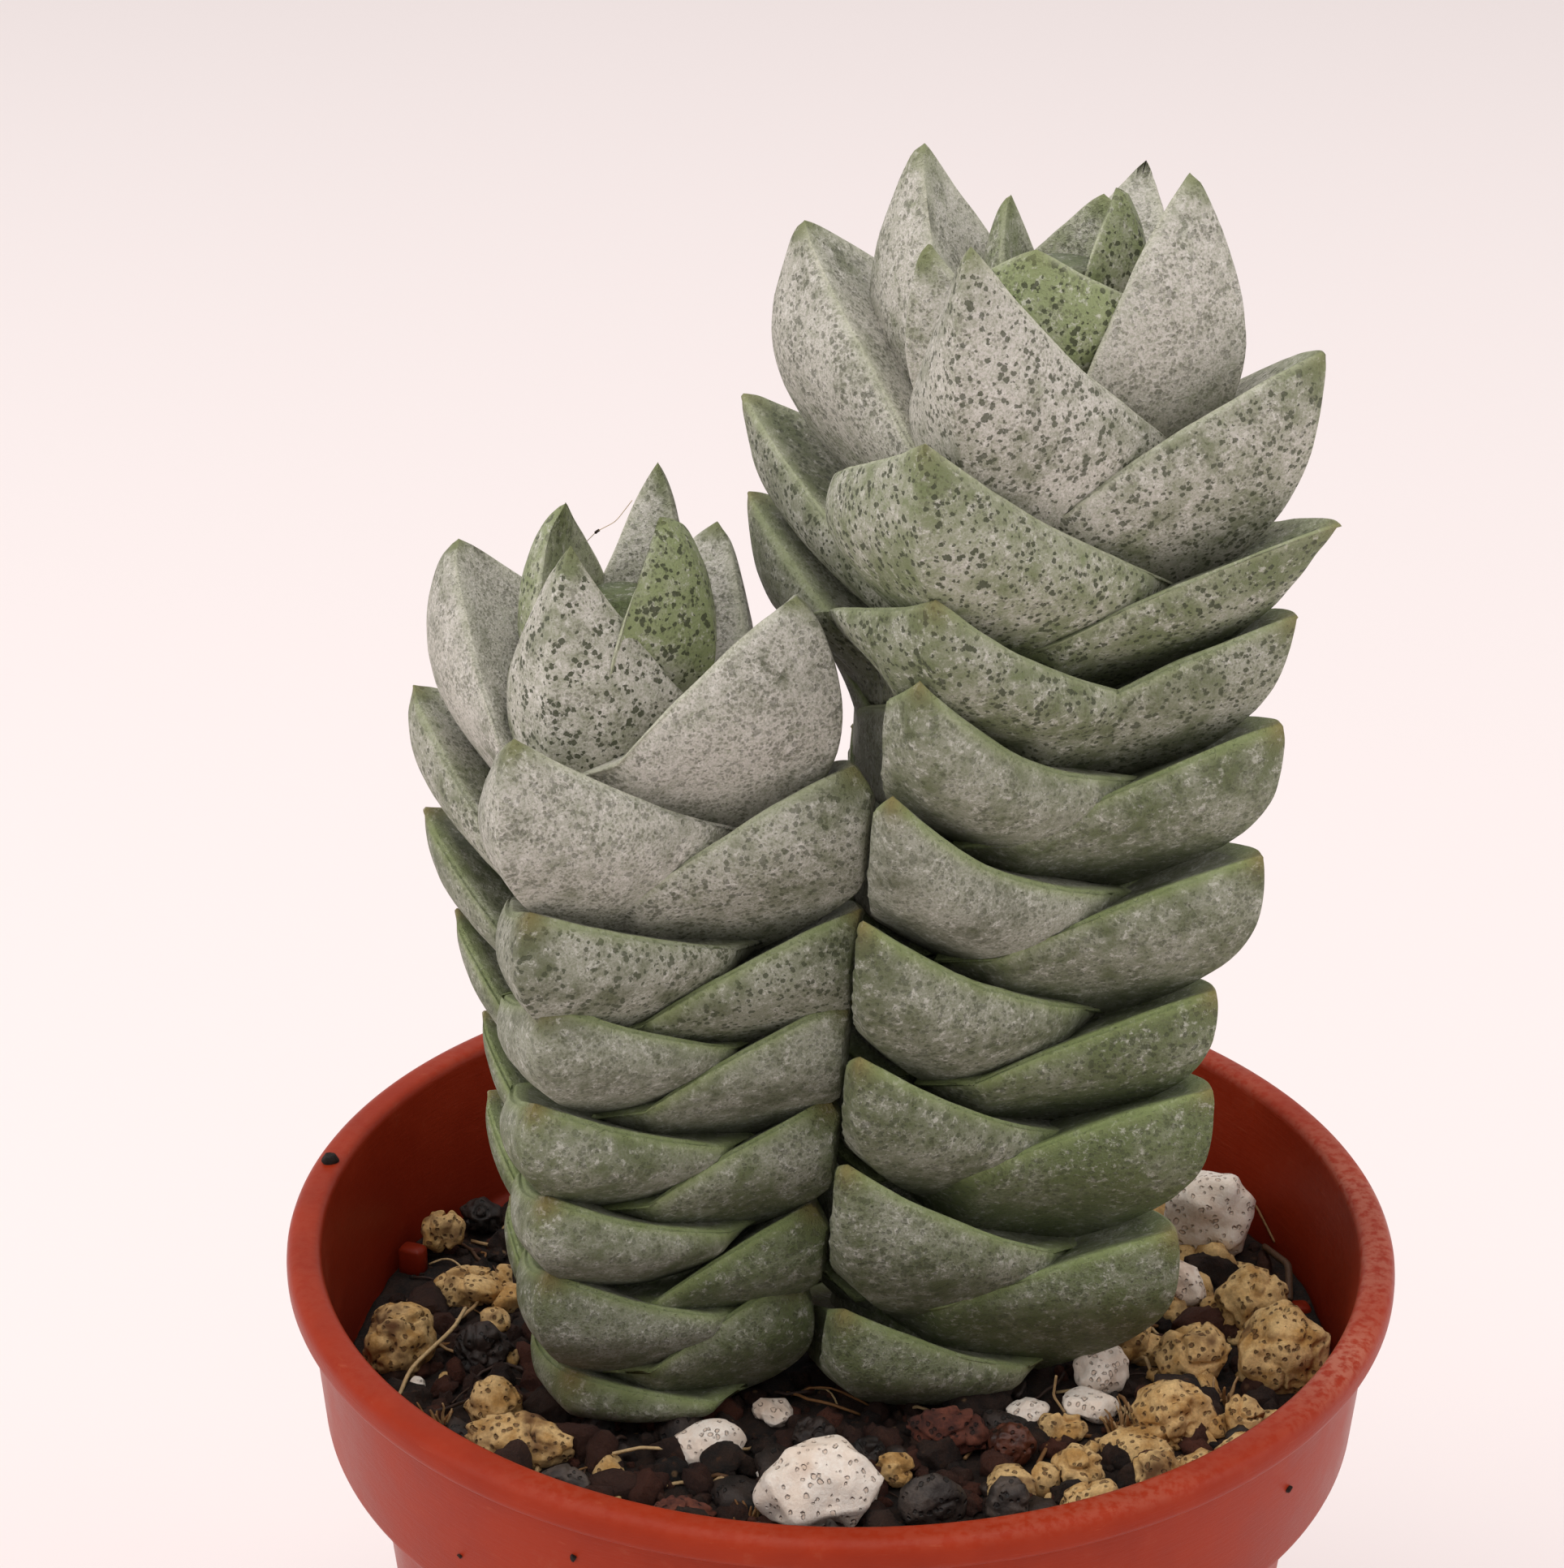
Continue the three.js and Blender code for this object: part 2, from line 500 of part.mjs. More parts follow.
// Stones: name, kind, place on the soil, width, depth and height, turn about Z and lift off the soil's level
const STONES = [
  ["white_pumice_01", "pumice", -0.7, -15.0, 5.8, 4.6, 4.6, 20, 1.4],
  ["white_pumice_02", "pumice", -6.2, -9.8, 3.3, 2.3, 1.9, 10, 0.5],
  ["white_pumice_03", "pumice", 19.6, 10.4, 4.9, 4.2, 5.8, -35, 1.9],
  ["white_pumice_04", "pumice", 17.4, 4.7, 3.1, 2.7, 3.3, 15, 1.0],
  ["white_pumice_05", "pumice", 13.2, -3.6, 3.0, 2.6, 2.9, 40, 0.9],
  ["white_pumice_06", "pumice", 12.4, -6.2, 2.8, 2.0, 1.3, -10, 0.4],
  ["white_pumice_07", "pumice", 9.3, -6.7, 2.2, 1.7, 1.4, 25, 0.4],
  ["white_pumice_08", "pumice", -3.3, -6.6, 2.2, 1.8, 1.4, -20, 0.3],
  ["ochre_grit_01", "ochre", -21.3, 9.8, 2.6, 2.2, 3.0, 10, 1.6],
  ["ochre_grit_02", "ochre", -19.3, 5.8, 4.0, 3.0, 2.2, -15, 0.6],
  ["ochre_grit_03", "ochre", -22.3, -1.2, 4.2, 3.8, 4.6, 30, 1.3],
  ["ochre_grit_04", "ochre", -17.0, -6.4, 2.8, 2.6, 3.2, -30, 0.9],
  ["ochre_grit_05", "ochre", -15.2, -9.6, 6.0, 3.1, 2.8, -8, 0.8],
  ["ochre_grit_06", "ochre", 20.9, 2.2, 4.1, 3.4, 4.0, 12, 1.2],
  ["ochre_grit_07", "ochre", 22.2, -3.0, 4.7, 4.0, 4.8, -18, 1.5],
  ["ochre_grit_08", "ochre", 17.7, -2.5, 4.1, 3.2, 3.4, 22, 1.0],
  ["ochre_grit_09", "ochre", 16.3, -8.0, 4.1, 3.6, 3.8, -12, 1.1],
  ["ochre_grit_10", "ochre", 19.8, -8.0, 2.0, 2.0, 2.6, 45, 0.8],
  ["ochre_grit_11", "ochre", 14.7, -0.6, 2.2, 2.0, 2.6, 5, 0.8],
  ["ochre_grit_12", "ochre", 11.1, -8.3, 2.5, 1.7, 1.8, -14, 0.6],
  ["ochre_grit_13", "ochre", 11.6, -12.2, 2.8, 2.4, 2.3, 33, 0.7],
  ["ochre_grit_14", "ochre", 15.4, -12.5, 2.8, 2.4, 2.6, -27, 0.8],
  ["ochre_grit_15", "ochre", 12.0, -15.2, 3.2, 2.3, 2.2, 8, 0.7],
  ["ochre_grit_16", "ochre", 2.8, -12.0, 2.1, 1.7, 1.7, 16, 0.5],
  ["lava_chip_01", "charcoal", -17.9, -1.0, 3.0, 2.7, 2.8, 14, 0.7],
  ["lava_chip_02", "lava", 5.3, -9.0, 3.9, 2.4, 2.6, -6, 0.9],
  ["lava_chip_03", "charcoal", -1.2, -9.0, 2.4, 2.0, 2.0, 28, 0.6],
  ["lava_chip_04", "charcoal", 1.4, -10.4, 2.0, 1.6, 1.8, -24, 0.5],
  ["lava_chip_05", "charcoal", -19.5, 13.0, 2.3, 2.1, 2.2, 9, 0.7],
  ["lava_chip_06", "lava", -7.6, -15.9, 4.0, 2.4, 2.0, 11, 0.6],
  ["slate_chip_01", "slate", -12.9, -13.6, 2.7, 2.1, 2.4, -20, 0.7],
  ["slate_chip_02", "slate", 4.6, -15.4, 3.2, 2.0, 3.4, 12, 1.1],
  ["slate_chip_03", "slate", 8.0, -15.6, 2.3, 2.2, 3.0, -30, 0.9],
  ["bark_chip_01", "bark", 8.4, -10.2, 2.3, 2.0, 2.4, 18, 0.8],
];

// One rough stone: a ball with bumps and a few flat cuts, brought to its own width, depth and height
function stoneGeometry([name, kind, x, y, width, depth, height, turn, lift], extra) {
  const random = randomSource(STONES.findIndex((row) => row[0] === name) + 11);
  const ball = mergeVertices(
    new THREE.BufferGeometry().setAttribute(
      "position",
      new THREE.IcosahedronGeometry(1, 1).getAttribute("position"),
    ),
    1e-4,
  );
  const cuts = Array.from({ length: 6 }, () => {
    const up = 2 * random() - 1;
    const around = 2 * Math.PI * random();
    const flat = Math.sqrt(1 - up * up);
    return new THREE.Vector4(flat * Math.cos(around), flat * Math.sin(around), up, lerp(0.72, 0.9, random()));
  });
  const points = ball.getAttribute("position");
  const point = new THREE.Vector3();
  for (let i = 0; i < points.count; i++) {
    point.fromBufferAttribute(points, i).multiplyScalar(lerp(0.94, 1.06, random()));
    for (const cut of cuts) {
      const normal = new THREE.Vector3(cut.x, cut.y, cut.z);
      const past = point.dot(normal) - cut.w;
      if (past > 0) point.addScaledVector(normal, -past * 0.85);
    }
    points.setXYZ(i, point.x, point.y, point.z);
  }
  ball.computeBoundingBox();
  const size = ball.boundingBox.getSize(new THREE.Vector3());
  const middle = ball.boundingBox.getCenter(new THREE.Vector3());
  ball.translate(-middle.x, -middle.y, -middle.z);
  ball.scale((width + 2 * extra) / size.x, (depth + 2 * extra) / size.y, (height + 2 * extra) / size.z);
  ball.rotateZ(degToRad(turn));
  ball.translate(x, y, soilLevel(x, y) + lift);
  return ball;
}

// Colour, roughness and metalness of each kind of piece
function finish(red, green, blue, roughness) {
  const color = new THREE.Color().setRGB(red / 255, green / 255, blue / 255, THREE.SRGBColorSpace);
  return new THREE.MeshStandardMaterial({ color, roughness, metalness: 0 });
}

const STONE_FINISH = {
  pumice: () => finish(222, 208, 202, 0.95),
  ochre: () => finish(170, 128, 78, 0.95),
  lava: () => finish(84, 44, 36, 0.9),
  charcoal: () => finish(38, 32, 32, 0.85),
  slate: () => finish(70, 66, 64, 0.7),
  bark: () => finish(58, 32, 24, 0.6),
};

const plant = new THREE.Group();

function addPiece(name, solid, material) {
  const mesh = new THREE.Mesh(geometryOf(solid), material);
  mesh.name = name;
  plant.add(mesh);
}

const STEMS = [
  { name: "tall_stem", stem: TALL_STEM, leaves: TALL_LEAVES, side: 1 },
  { name: "short_stem", stem: SHORT_STEM, leaves: SHORT_LEAVES, side: -1 },
];

addPiece("pot", potSolid(), finish(176, 62, 34, 0.42));
addPiece("soil", soilSolid(STEMS, STONES), finish(52, 36, 28, 0.98));
for (const { name, stem, leaves, side } of STEMS) {
  addPiece(name, leafyStem(stem, leaves, side), finish(158, 164, 146, 0.85));
}
for (const stone of STONES) {
  addPiece(stone[0], solidOf(stoneGeometry(stone, 0)), STONE_FINISH[stone[1]]());
}

export default plant;
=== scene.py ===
import math

import bpy
import numpy as np
from mathutils import Matrix, Vector


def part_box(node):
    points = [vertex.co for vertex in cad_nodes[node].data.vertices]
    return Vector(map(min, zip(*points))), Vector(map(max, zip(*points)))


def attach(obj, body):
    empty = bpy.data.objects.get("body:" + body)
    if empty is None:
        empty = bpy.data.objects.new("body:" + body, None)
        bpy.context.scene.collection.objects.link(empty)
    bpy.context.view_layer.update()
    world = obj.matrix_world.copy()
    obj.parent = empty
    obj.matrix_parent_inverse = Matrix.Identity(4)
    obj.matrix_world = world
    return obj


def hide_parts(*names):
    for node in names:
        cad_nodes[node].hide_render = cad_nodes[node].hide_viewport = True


MM = 0.001
# Large odd numbers that mix a cube's corner and a seed into one random number
AXIS_FACTORS = (73856093, 19349663, 83492791)
SEED_FACTOR = 26544357
NO_TRIANGLES = np.empty((0, 3), np.int64)

# The pot, in millimetres
POT_HEIGHT = 48.0
RIM_RADIUS = 27.5
RIM_BEAD = 1.5
RIM_OVERHANG = 0.8
COLLAR_HEIGHT = 9.4
COLLAR_FOOT_RADIUS = 25.9
STEP_INWARD = 2.2
STEP_HEIGHT = 0.7
BASE_RADIUS = 19.6
WALL = 0.9
FLOOR = 1.2
FLOOR_RING_RADIUS = 17.0
FLOOR_EDGE_POINTS = 32
DRAIN_HOLES = 4
DRAIN_RADIUS = 2.0
DRAIN_CIRCLE = 12.0
RIB_COUNT = 12
RIB_WIDTH = 1.0
RIB_DEPTH = 0.5
RIB_TOP = 40.6
RIB_TURN = 10.0
POT_SIDES = 240
# Where the painted shade inside the wall begins below the rim and over what depth, how far the worn crest
# reaches, which way it is worn most, and how much
INSIDE_FROM = 1.2
INSIDE_OVER = 1.5
CREST_REACH = 0.35
WORN_TURN = -10.0
WORN_LEAST = 0.05
WORN_MORE = 0.32

# The soil
SOIL_LEVEL = 40.0
SOIL_RISE_RIGHT = 0.03
SOIL_RISE_FRONT = 0.04
SOIL_RELIEF = 0.45
SOIL_SIDES = (38.4, 37.4, FLOOR + 0.3)
SOIL_MIDDLE = 0.6
SOIL_ROWS = 110
SOIL_COLUMNS = 300

# The stems: where each axis starts and ends, its bow, the turn of its front rank and the leaves' corners
TALL_STEM = {
    "foot": (4.1, 0.7),
    "top": (9.1, 0.4),
    "length": 57.0,
    "bow": 0.5,
    "turn": (-34.0, -24.0),
    "corner": (7.4, 7.8),
    "core": (5.0, 1.6),
    "side": 1,
}
SHORT_STEM = {
    "foot": (-9.1, -2.2),
    "top": (-10.5, -2.1),
    "length": 42.0,
    "bow": 0.6,
    "turn": (-27.0, -23.0),
    "corner": (6.2, 7.2),
    "core": (4.2, 1.3),
    "side": -1,
}
RANK_TURN = {"front": 0.0, "right": 90.0, "back": 180.0, "left": 270.0}

# Leaves from the top down: rank, height of the tip above the soil, reach, drop to the corners, height of
# the face, belly, turn off the rank, share of the width, shift of the base, how bold the dots are, and how
# green the skin is
TALL_LEAVES = [
    ("left", 60.1, 2.8, 6.5, 9, 2.4, 0, 0.45, 0, 0.3, 0.6),
    ("right", 61.0, 2.4, 5.5, 9, 3.4, 0, 0.62, 0, 1.0, 0.9),
    ("front", 59.4, 5.8, 3.2, 8, 2.4, 8, 0.72, 0, 1.0, 1.0),
    ("back", 59.3, 5.2, 6, 9, 2, 0, 0.7, 0, 0.6, 0.6),
    ("front", 59.1, 7.4, 6, 9, 2, -34, 0.6, 0, 0.2, 0.3),
    ("left", 61.9, 7.1, 10.5, 14, 5, 0, 0.78, 0, 0.4, 0.2),
    ("right", 62.0, 5.7, 10.5, 14, 5.6, 0, 0.82, 0, 0.3, 0.15),
    ("front", 60.8, 11.2, 10, 13.4, 2.4, -1, 0.86, 0.4, 0.75, 0.15),
    ("back", 59.6, 10.9, 9.5, 13, 2.4, 0, 0.72, 0, 0.3, 0.1),
    ("left", 57.7, 12.8, 9, 12.4, 3.6, 0, 1, 0, 0.5, 0.1),
    ("right", 54.9, 12.7, 7.8, 11.6, -0.5, 0, 1, 0, 0.75, 0.3),
    ("front", 52.7, 13.2, 8, 10.5, 0.6, -2, 1, 0, 1.0, 0.55),
    ("back", 52.4, 13.2, 8, 10.5, 0.6, 0, 1, 0, 0.4, 0.2),
    ("left", 48.8, 15.5, 7.4, 9, -1.6, 0, 1, 0, 1.0, 0.35),
    ("right", 47.4, 14.6, 6.5, 8.4, -4, 0, 1, 0, 1.0, 0.6),
    ("front", 45.5, 12.4, 6.8, 7.6, 0.2, 3, 1.05, 0, 1.0, 0.5),
    ("back", 45.2, 13.2, 6.8, 8, 0.2, 0, 1, 0, 0.5, 0.3),
    ("left", 44.0, 15.0, 6.6, 9.5, -1.0, 0, 1, 0, 0.6, 0.35),
    ("right", 42.9, 13.3, 6.3, 8.4, -1.4, 0, 1, 0, 0.8, 0.4),
    ("front", 41.7, 12.4, 7, 8.6, 0.2, 2, 1, 0, 0.35, 0.35),
    ("back", 40.8, 13.0, 7, 8.6, 0.2, 0, 1, 0, 0.4, 0.3),
    ("left", 40.3, 12.8, 5.0, 10.5, 0.6, -8, 1, 0, 0.4, 0.3),
    ("right", 37.7, 13.4, 6.2, 8.4, 0, 0, 1, 0, 0.3, 0.5),
    ("front", 36.0, 12.6, 7, 8.8, 0.2, 0, 1, 0, 0.3, 0.0),
    ("back", 35.4, 13.0, 7, 8.8, 0.2, 0, 1, 0, 0.4, 0.3),
    ("left", 31.4, 11.2, 6, 8.6, 0.2, -18, 1, 0, 0.4, 0.3),
    ("right", 31.3, 13.6, 5.8, 9, -0.2, 0, 1, 0, 0.35, 0.4),
    ("front", 29.8, 12.8, 7, 9.2, 0.2, -2, 0.92, 0, 0.45, 0.35),
    ("back", 29.0, 12.8, 6.8, 9, 0.2, 0, 1, 0, 0.4, 0.4),
    ("left", 24.6, 11.0, 5.8, 8, 0.2, -16, 1, 0, 0.4, 0.4),
    ("right", 24.1, 12.5, 5.2, 7.6, 0, 0, 1, 0, 0.6, 0.7),
    ("front", 22.6, 12.2, 6.6, 8.4, 0.3, 1, 0.94, 0, 0.5, 0.4),
    ("back", 22.0, 12.4, 6.4, 8.4, 0.3, 0, 1, 0, 0.4, 0.5),
    ("left", 18.6, 10.6, 5.4, 8.6, 0.3, -14, 1, 0, 0.4, 0.5),
    ("right", 19.2, 13.3, 5.4, 9.2, 0, 0, 1, 0, 0.4, 0.9),
    ("front", 16.5, 11.6, 6.6, 9.4, 0.6, 1, 1.06, 0, 0.45, 0.45),
    ("back", 15.6, 12.0, 6.2, 9, 0.3, 0, 1, 0, 0.4, 0.6),
    ("left", 11.4, 10.2, 5, 8.4, 0.3, -12, 1, 0, 0.3, 0.6),
    ("right", 11.3, 12.8, 4.8, 8.8, 0.4, 0, 1, 0, 0.35, 0.8),
    ("front", 7.9, 10.2, 5, 6.8, 1, 4, 1, 0, 0.4, 0.6),
    ("back", 7.6, 10.4, 5, 6.6, 0.6, 0, 1, 0, 0.3, 0.6),
]
SHORT_LEAVES = [
    ("left", 46.5, 2.6, 7, 11, 4.2, 0, 0.62, 0, 0.8, 0.8),
    ("right", 46.5, 2.9, 7, 11, 4.5, 0, 0.8, 0, 1.0, 1.0),
    ("front", 46.3, 4.8, 8, 14, 4.8, 3, 0.7, 0.7, 1.0, 0.2),
    ("back", 47.1, 5.6, 11, 13.4, 3.5, 0, 0.52, 0, 0.6, 0.2),
    ("left", 43.8, 8.6, 8.4, 11.8, 3.4, 0, 0.92, -0.4, 0.2, 0.05),
    ("right", 43.7, 9.4, 8, 12.2, 4.2, 0, 1, 0, 0.35, 0.05),
    ("front", 39.2, 11.0, 6.4, 9.8, 2.6, -1, 0.9, 1, 0.35, 0.1),
    ("back", 42.4, 10.9, 8.4, 11, 2, 0, 0.85, 0, 0.5, 0.1),
    ("left", 35.8, 12.2, 7, 9, -0.2, 0, 0.95, -0.6, 0.6, 0.3),
    ("right", 35.9, 11.7, 6.8, 9.2, 2.6, 0, 1, 0, 0.55, 0.2),
    ("front", 30.9, 11.2, 4.2, 7.4, 1.6, 0, 0.95, 0.8, 0.75, 0.15),
    ("back", 33.2, 10.4, 6, 8.4, 1, 0, 1, 0, 0.4, 0.3),
    ("left", 29.2, 12.3, 5.4, 7.8, -1.6, 0, 0.95, -0.8, 0.5, 0.3),
    ("right", 28.8, 11.7, 6.2, 7.8, 1.8, 0, 1, 0, 0.8, 0.3),
    ("front", 26.3, 10.6, 4.8, 7, 1.4, 1, 1, 0, 0.25, 0.2),
    ("back", 27.0, 10.0, 5, 7.4, 1, 0, 1, 0, 0.4, 0.4),
    ("left", 24.0, 11.1, 5, 7.2, -1.5, 0, 0.95, -0.6, 0.4, 0.4),
    ("right", 24.1, 10.9, 6.0, 7.6, 1.8, 0, 1, 0, 0.3, 0.25),
    ("front", 20.7, 10.6, 4.4, 6.6, 1.4, -4, 1, 0, 0.35, 0.5),
    ("back", 21.4, 9.8, 4.6, 7.2, 1, 0, 1, 0, 0.4, 0.5),
    ("left", 18.6, 10.0, 4.4, 6.6, -1.2, 0, 0.95, -0.4, 0.3, 0.6),
    ("right", 18.5, 9.8, 5.5, 7.4, 1.8, 0, 1, 0, 0.4, 0.6),
    ("front", 15.5, 10.2, 4, 6, 1.4, -3, 1, 0, 0.3, 0.4),
    ("back", 16.0, 9.4, 4.2, 6.8, 1, 0, 1, 0, 0.3, 0.6),
    ("left", 14.1, 10.0, 4, 7, -0.8, 0, 1, 0, 0.3, 0.7),
    ("right", 12.5, 8.9, 5.0, 6.6, 1.8, 0, 1, 0, 0.35, 0.7),
    ("front", 10.9, 9.4, 4, 6.6, 1.4, -6, 1, 0, 0.25, 0.4),
    ("back", 10.8, 9.0, 4, 6.4, 1, 0, 1, 0, 0.3, 0.6),
    ("left", 8.3, 9.0, 3.8, 6.2, -0.4, 0, 1, 0, 0.3, 0.6),
    ("right", 8.3, 7.8, 4.6, 7.0, 2.2, 0, 1, 0, 0.25, 0.6),
    ("front", 4.1, 7.4, 2.2, 3.8, 1, -7, 1, 0, 0.2, 0.5),
    ("back", 5.2, 7.6, 3, 4.4, 0.8, 0, 1, 0, 0.2, 0.5),
]

# The leaf's form
CORNER_ANGLE = 64.0
WIDEST = 0.8
MARGIN_OUT = (0.3, 0.66)
MARGIN_ACROSS = (0.34, 0.71)
MEETING_SHARE = 0.88
MEETING_DROP = 0.22
# How far the margin has sunk on its way from the tip to the corner, as shares of the drop, by rank
PEAKS = {"front": (0.46, 0.77), "right": (0.2, 0.56), "back": (0.34, 0.67), "left": (0.3, 0.64)}
# The same for some front leaves of the tall stem by their height, and how far their left half spreads
PEAKED = {52.7: (0.46, 0.77), 45.5: (0.55, 0.8), 41.7: (0.72, 0.88), 36.0: (0.66, 0.86), 29.8: (0.52, 0.8)}
LEFT_SPREAD = {52.7: 0.5, 45.5: 0.62, 41.7: 0.45, 36.0: 0.3}
SPREAD_RISE = 0.45
SPREAD_POWER = 0.6
RANK_DROP = {"front": 1.0, "right": 0.88, "back": 0.95, "left": 0.94}
RANK_FACE = {"front": 1.08, "right": 1.0, "back": 1.05, "left": 1.0}
RIDGE_POWER = 1.12
BELLY_POWER = 1.35
BELLY_DROP = 0.95
UNDER_DROP = 1.6
SIDE_RISE = 0.9
# How far a face bulges from the keel to where the leaves meet: at the keel by its own belly, then by rank
BELLY_PLACES = (0.0, 0.4, 0.8, 1.0)
BELLY_KEPT = 0.4
BELLY_END = -0.8
SIDE_BELLY = {"front": (0.5, 0.2), "right": (-0.05, -0.45), "back": (0.3, 0.0), "left": (-0.05, -0.45)}
BASE_OVERLAP = 0.6
BASE_SHARE = 0.94
UPPER_MIDDLE = 0.35
HOLLOW = 0.35
RIM_ROUND = 0.24
RIM_KEPT = 0.28
EDGE_HOLLOW = 0.05
COLUMN_CROWDING = 1.35
ROW_CROWDING = 1.3
LEAF_COLUMNS = 61
BASE_COLUMNS = 7
LEAF_ROWS = 34
UPPER_ROWS = 5
CORE_FOOT = -5.0
CORE_ROWS = 24
CORE_SIDES = 32
SKIN_SWELL_SIZE = 3.4
SKIN_SWELL = 0.11
SKIN_DIMPLE_SIZE = 0.9
SKIN_DIMPLE = 0.025
TIP_BLUNT = {"tall": (0.22, 0.7), "short": (0.5, 1.3)}
TIP_PULL = (-0.75, 0.0, -0.66)
# How far up the stem the skin begins to look older and darker, partly as older skin and partly as painted
# shade on the lower leaves, and over what share. The same for the painted shade down each face towards its
# base
OLD_AND_SHADED_FROM, OLD_AND_SHADED_OVER = 1.1, 0.5
UNDER_SHADE_FROM, UNDER_SHADE_OVER = 0.5, 0.4
# How far the marks for tip, margin and keel reach, and how fast the keel's mark fades down the face
TIP_REACH = 1.5
MARGIN_REACH = 0.3
KEEL_REACH = 0.1
KEEL_FADE = 4

# Where the two stems press against each other
PRESS_X_AT_SOIL = -1.9
PRESS_LEAN = 0.082
PRESS_BENDS = ((-11.0, -5.5, -1.0), (-0.3, 0.8, -0.7))
PRESS_TOPS = ((-3.0, 0.0), (42.5, 38.5))
PRESS_FADE = 4.0
PRESS_SOFT = 0.05
PRESS_ROOM = 0.18

# The stones: the size and depth of each kind's lumps, then of its small pits, and the depth of its creases
STONE_KINDS = {
    "white_pumice": {"lump": (1.9, 0.36), "pit": (0.5, 0.05), "crease": 0.0, "material": "pumice"},
    "ochre_grit": {"lump": (1.4, 0.26), "pit": (0.5, 0.12), "crease": 0.28, "material": "ochre_grit"},
    "lava_chip": {"lump": (0.9, 0.22), "pit": (0.4, 0.12), "crease": 0.2, "material": "lava"},
    "slate_chip": {"lump": (1.5, 0.18), "pit": (0.3, 0.03), "crease": 0.12, "material": "slate"},
    "bark_chip": {"lump": (0.8, 0.12), "pit": (0.3, 0.04), "crease": 0.1, "material": "bark"},
}
# Their looks: the pale, the main and the dark colour, the depth of the pits, and the roughness
STONE_LOOKS = {
    "pumice": ((252, 243, 232), (244, 228, 212), (220, 196, 176), 0.2, 0.92),
    "ochre_grit": ((226, 190, 132), (188, 144, 82), (92, 58, 30), 0.35, 0.94),
    "lava": ((116, 62, 44), (78, 36, 26), (26, 14, 12), 0.35, 0.9),
    "charcoal": ((52, 38, 31), (24, 16, 13), (7, 5, 4), 0.2, 0.6),
    "slate": ((84, 72, 64), (46, 38, 34), (18, 14, 13), 0.2, 0.6),
    "bark": ((96, 50, 32), (54, 26, 18), (18, 10, 8), 0.15, 0.45),
}
CHARCOAL_CHIPS = ("lava_chip_01", "lava_chip_03", "lava_chip_04", "lava_chip_05")
STONE_GRID = 26
CREASE_WIDTH = 0.2

# The loose bits on the soil
CRUMB_COUNT = 1500
CRUMB_SIZE = (0.16, 0.91)
CRUMB_GRID = 3
CHUNK_PLANES = 9
CHUNK_GRID = 6
# Bits by kind: slot, how many, smallest size and how much more, where they begin and end round the pot, and
# how far out they lie
LOOSE_BITS = (
    ("bark_bits", "soil", 96, (0.7, 1.0), (0.0, 360.0), (4.0, 22.6)),
    ("dark_bits", "charcoal", 60, (0.5, 0.9), (190.0, 350.0), (10.0, 22.4)),
    ("ochre_bits", "ochre_grit", 90, (0.35, 1.1), (-62.0, 42.0), (15.5, 22.6)),
    ("ochre_bits_left", "ochre_grit", 26, (0.3, 0.8), (150.0, 232.0), (15.0, 22.6)),
    ("pale_bits", "pumice", 26, (0.25, 0.45), (180.0, 400.0), (10.0, 22.8)),
)
# Specks on the pot, the first on the lip: angle, height, size and tone
SPECKS = (
    (170.5, 48.1, 0.5, 0.0),
    (-37.0, 43.2, 0.22, 0.0),
    (-48.0, 40.8, 0.16, 0.1),
    (-116.0, 44.4, 0.2, 0.0),
    (-55.0, 42.0, 0.14, 1.0),
    (-105.0, 40.6, 0.16, 1.0),
    (-82.0, 45.0, 0.12, 0.0),
    (-131.0, 41.4, 0.14, 0.2),
)
LIP_MIDDLE = 26.6
# Loose roots and straws: radius, tone and the places that each runs through
ROOTS = (
    (0.11, 0.95, ((-21.8, -6.8, 40.6), (-21.2, -4.8, 41.6), (-19.3, -2.0, 42.2), (-19.1, 1.5, 41.2))),
    (0.1, 1.0, ((-10.8, -10.9, 41.0), (-9.4, -10.9, 41.4), (-8.0, -10.4, 41.0))),
    (0.07, 0.8, ((10.7, -6.4, 43.0), (10.6, -6.4, 41.8), (11.2, -6.7, 41.0))),
    (0.08, 0.75, ((20.2, 15.4, 42.0), (21.6, 14.6, 43.0), (22.4, 13.4, 44.0))),
    (0.07, 0.7, ((19.0, 16.6, 41.0), (21.0, 14.8, 43.4), (23.4, 11.6, 42.6), (23.9, 9.4, 41.4))),
    (0.07, 0.6, ((21.4, 13.4, 41.2), (22.2, 11.6, 42.2), (23.2, 9.8, 40.8))),
    (0.2, 0.15, ((22.4, 8.6, 41.4), (23.4, 5.8, 42.0), (23.3, 3.8, 41.0))),
)
WEB_PATH = ((-12.1, -0.7, 83.9), (-11.62, -1.01, 84.5), (-10.7, -1.6, 85.2), (-9.86, -2.15, 86.5))
WEB_SPECK = ((-11.68, -1.0, 84.42), (-11.6, -1.02, 84.5), (-11.5, -1.06, 84.58))
TUBE_SIDES = 5
NEARLY_UP = (0.13, 0.27, 1.0)
FIBRE_COUNT = 230
# Bundles of bark fibre: place along X and Y, reach and how many strands
BUNDLES = ((14.0, -8.4, 2.2, 22), (-3.9, -15.6, 1.7, 16), (-19.4, -8.0, 2.0, 14), (18.9, -6.2, 2.0, 8))

# The camera at the photograph's viewing angle
CAMERA_PLACE = (0.0, -0.15425, 0.14075)
CAMERA_RIGHT = (0.9997, 0.0233, 0.0074)
CAMERA_UP = (-0.0163, 0.4089, 0.9124)
CAMERA_FORWARD = (-0.0182, 0.9123, -0.4092)
CAMERA_LENS = 81.99
CAMERA_SENSOR = 36.0

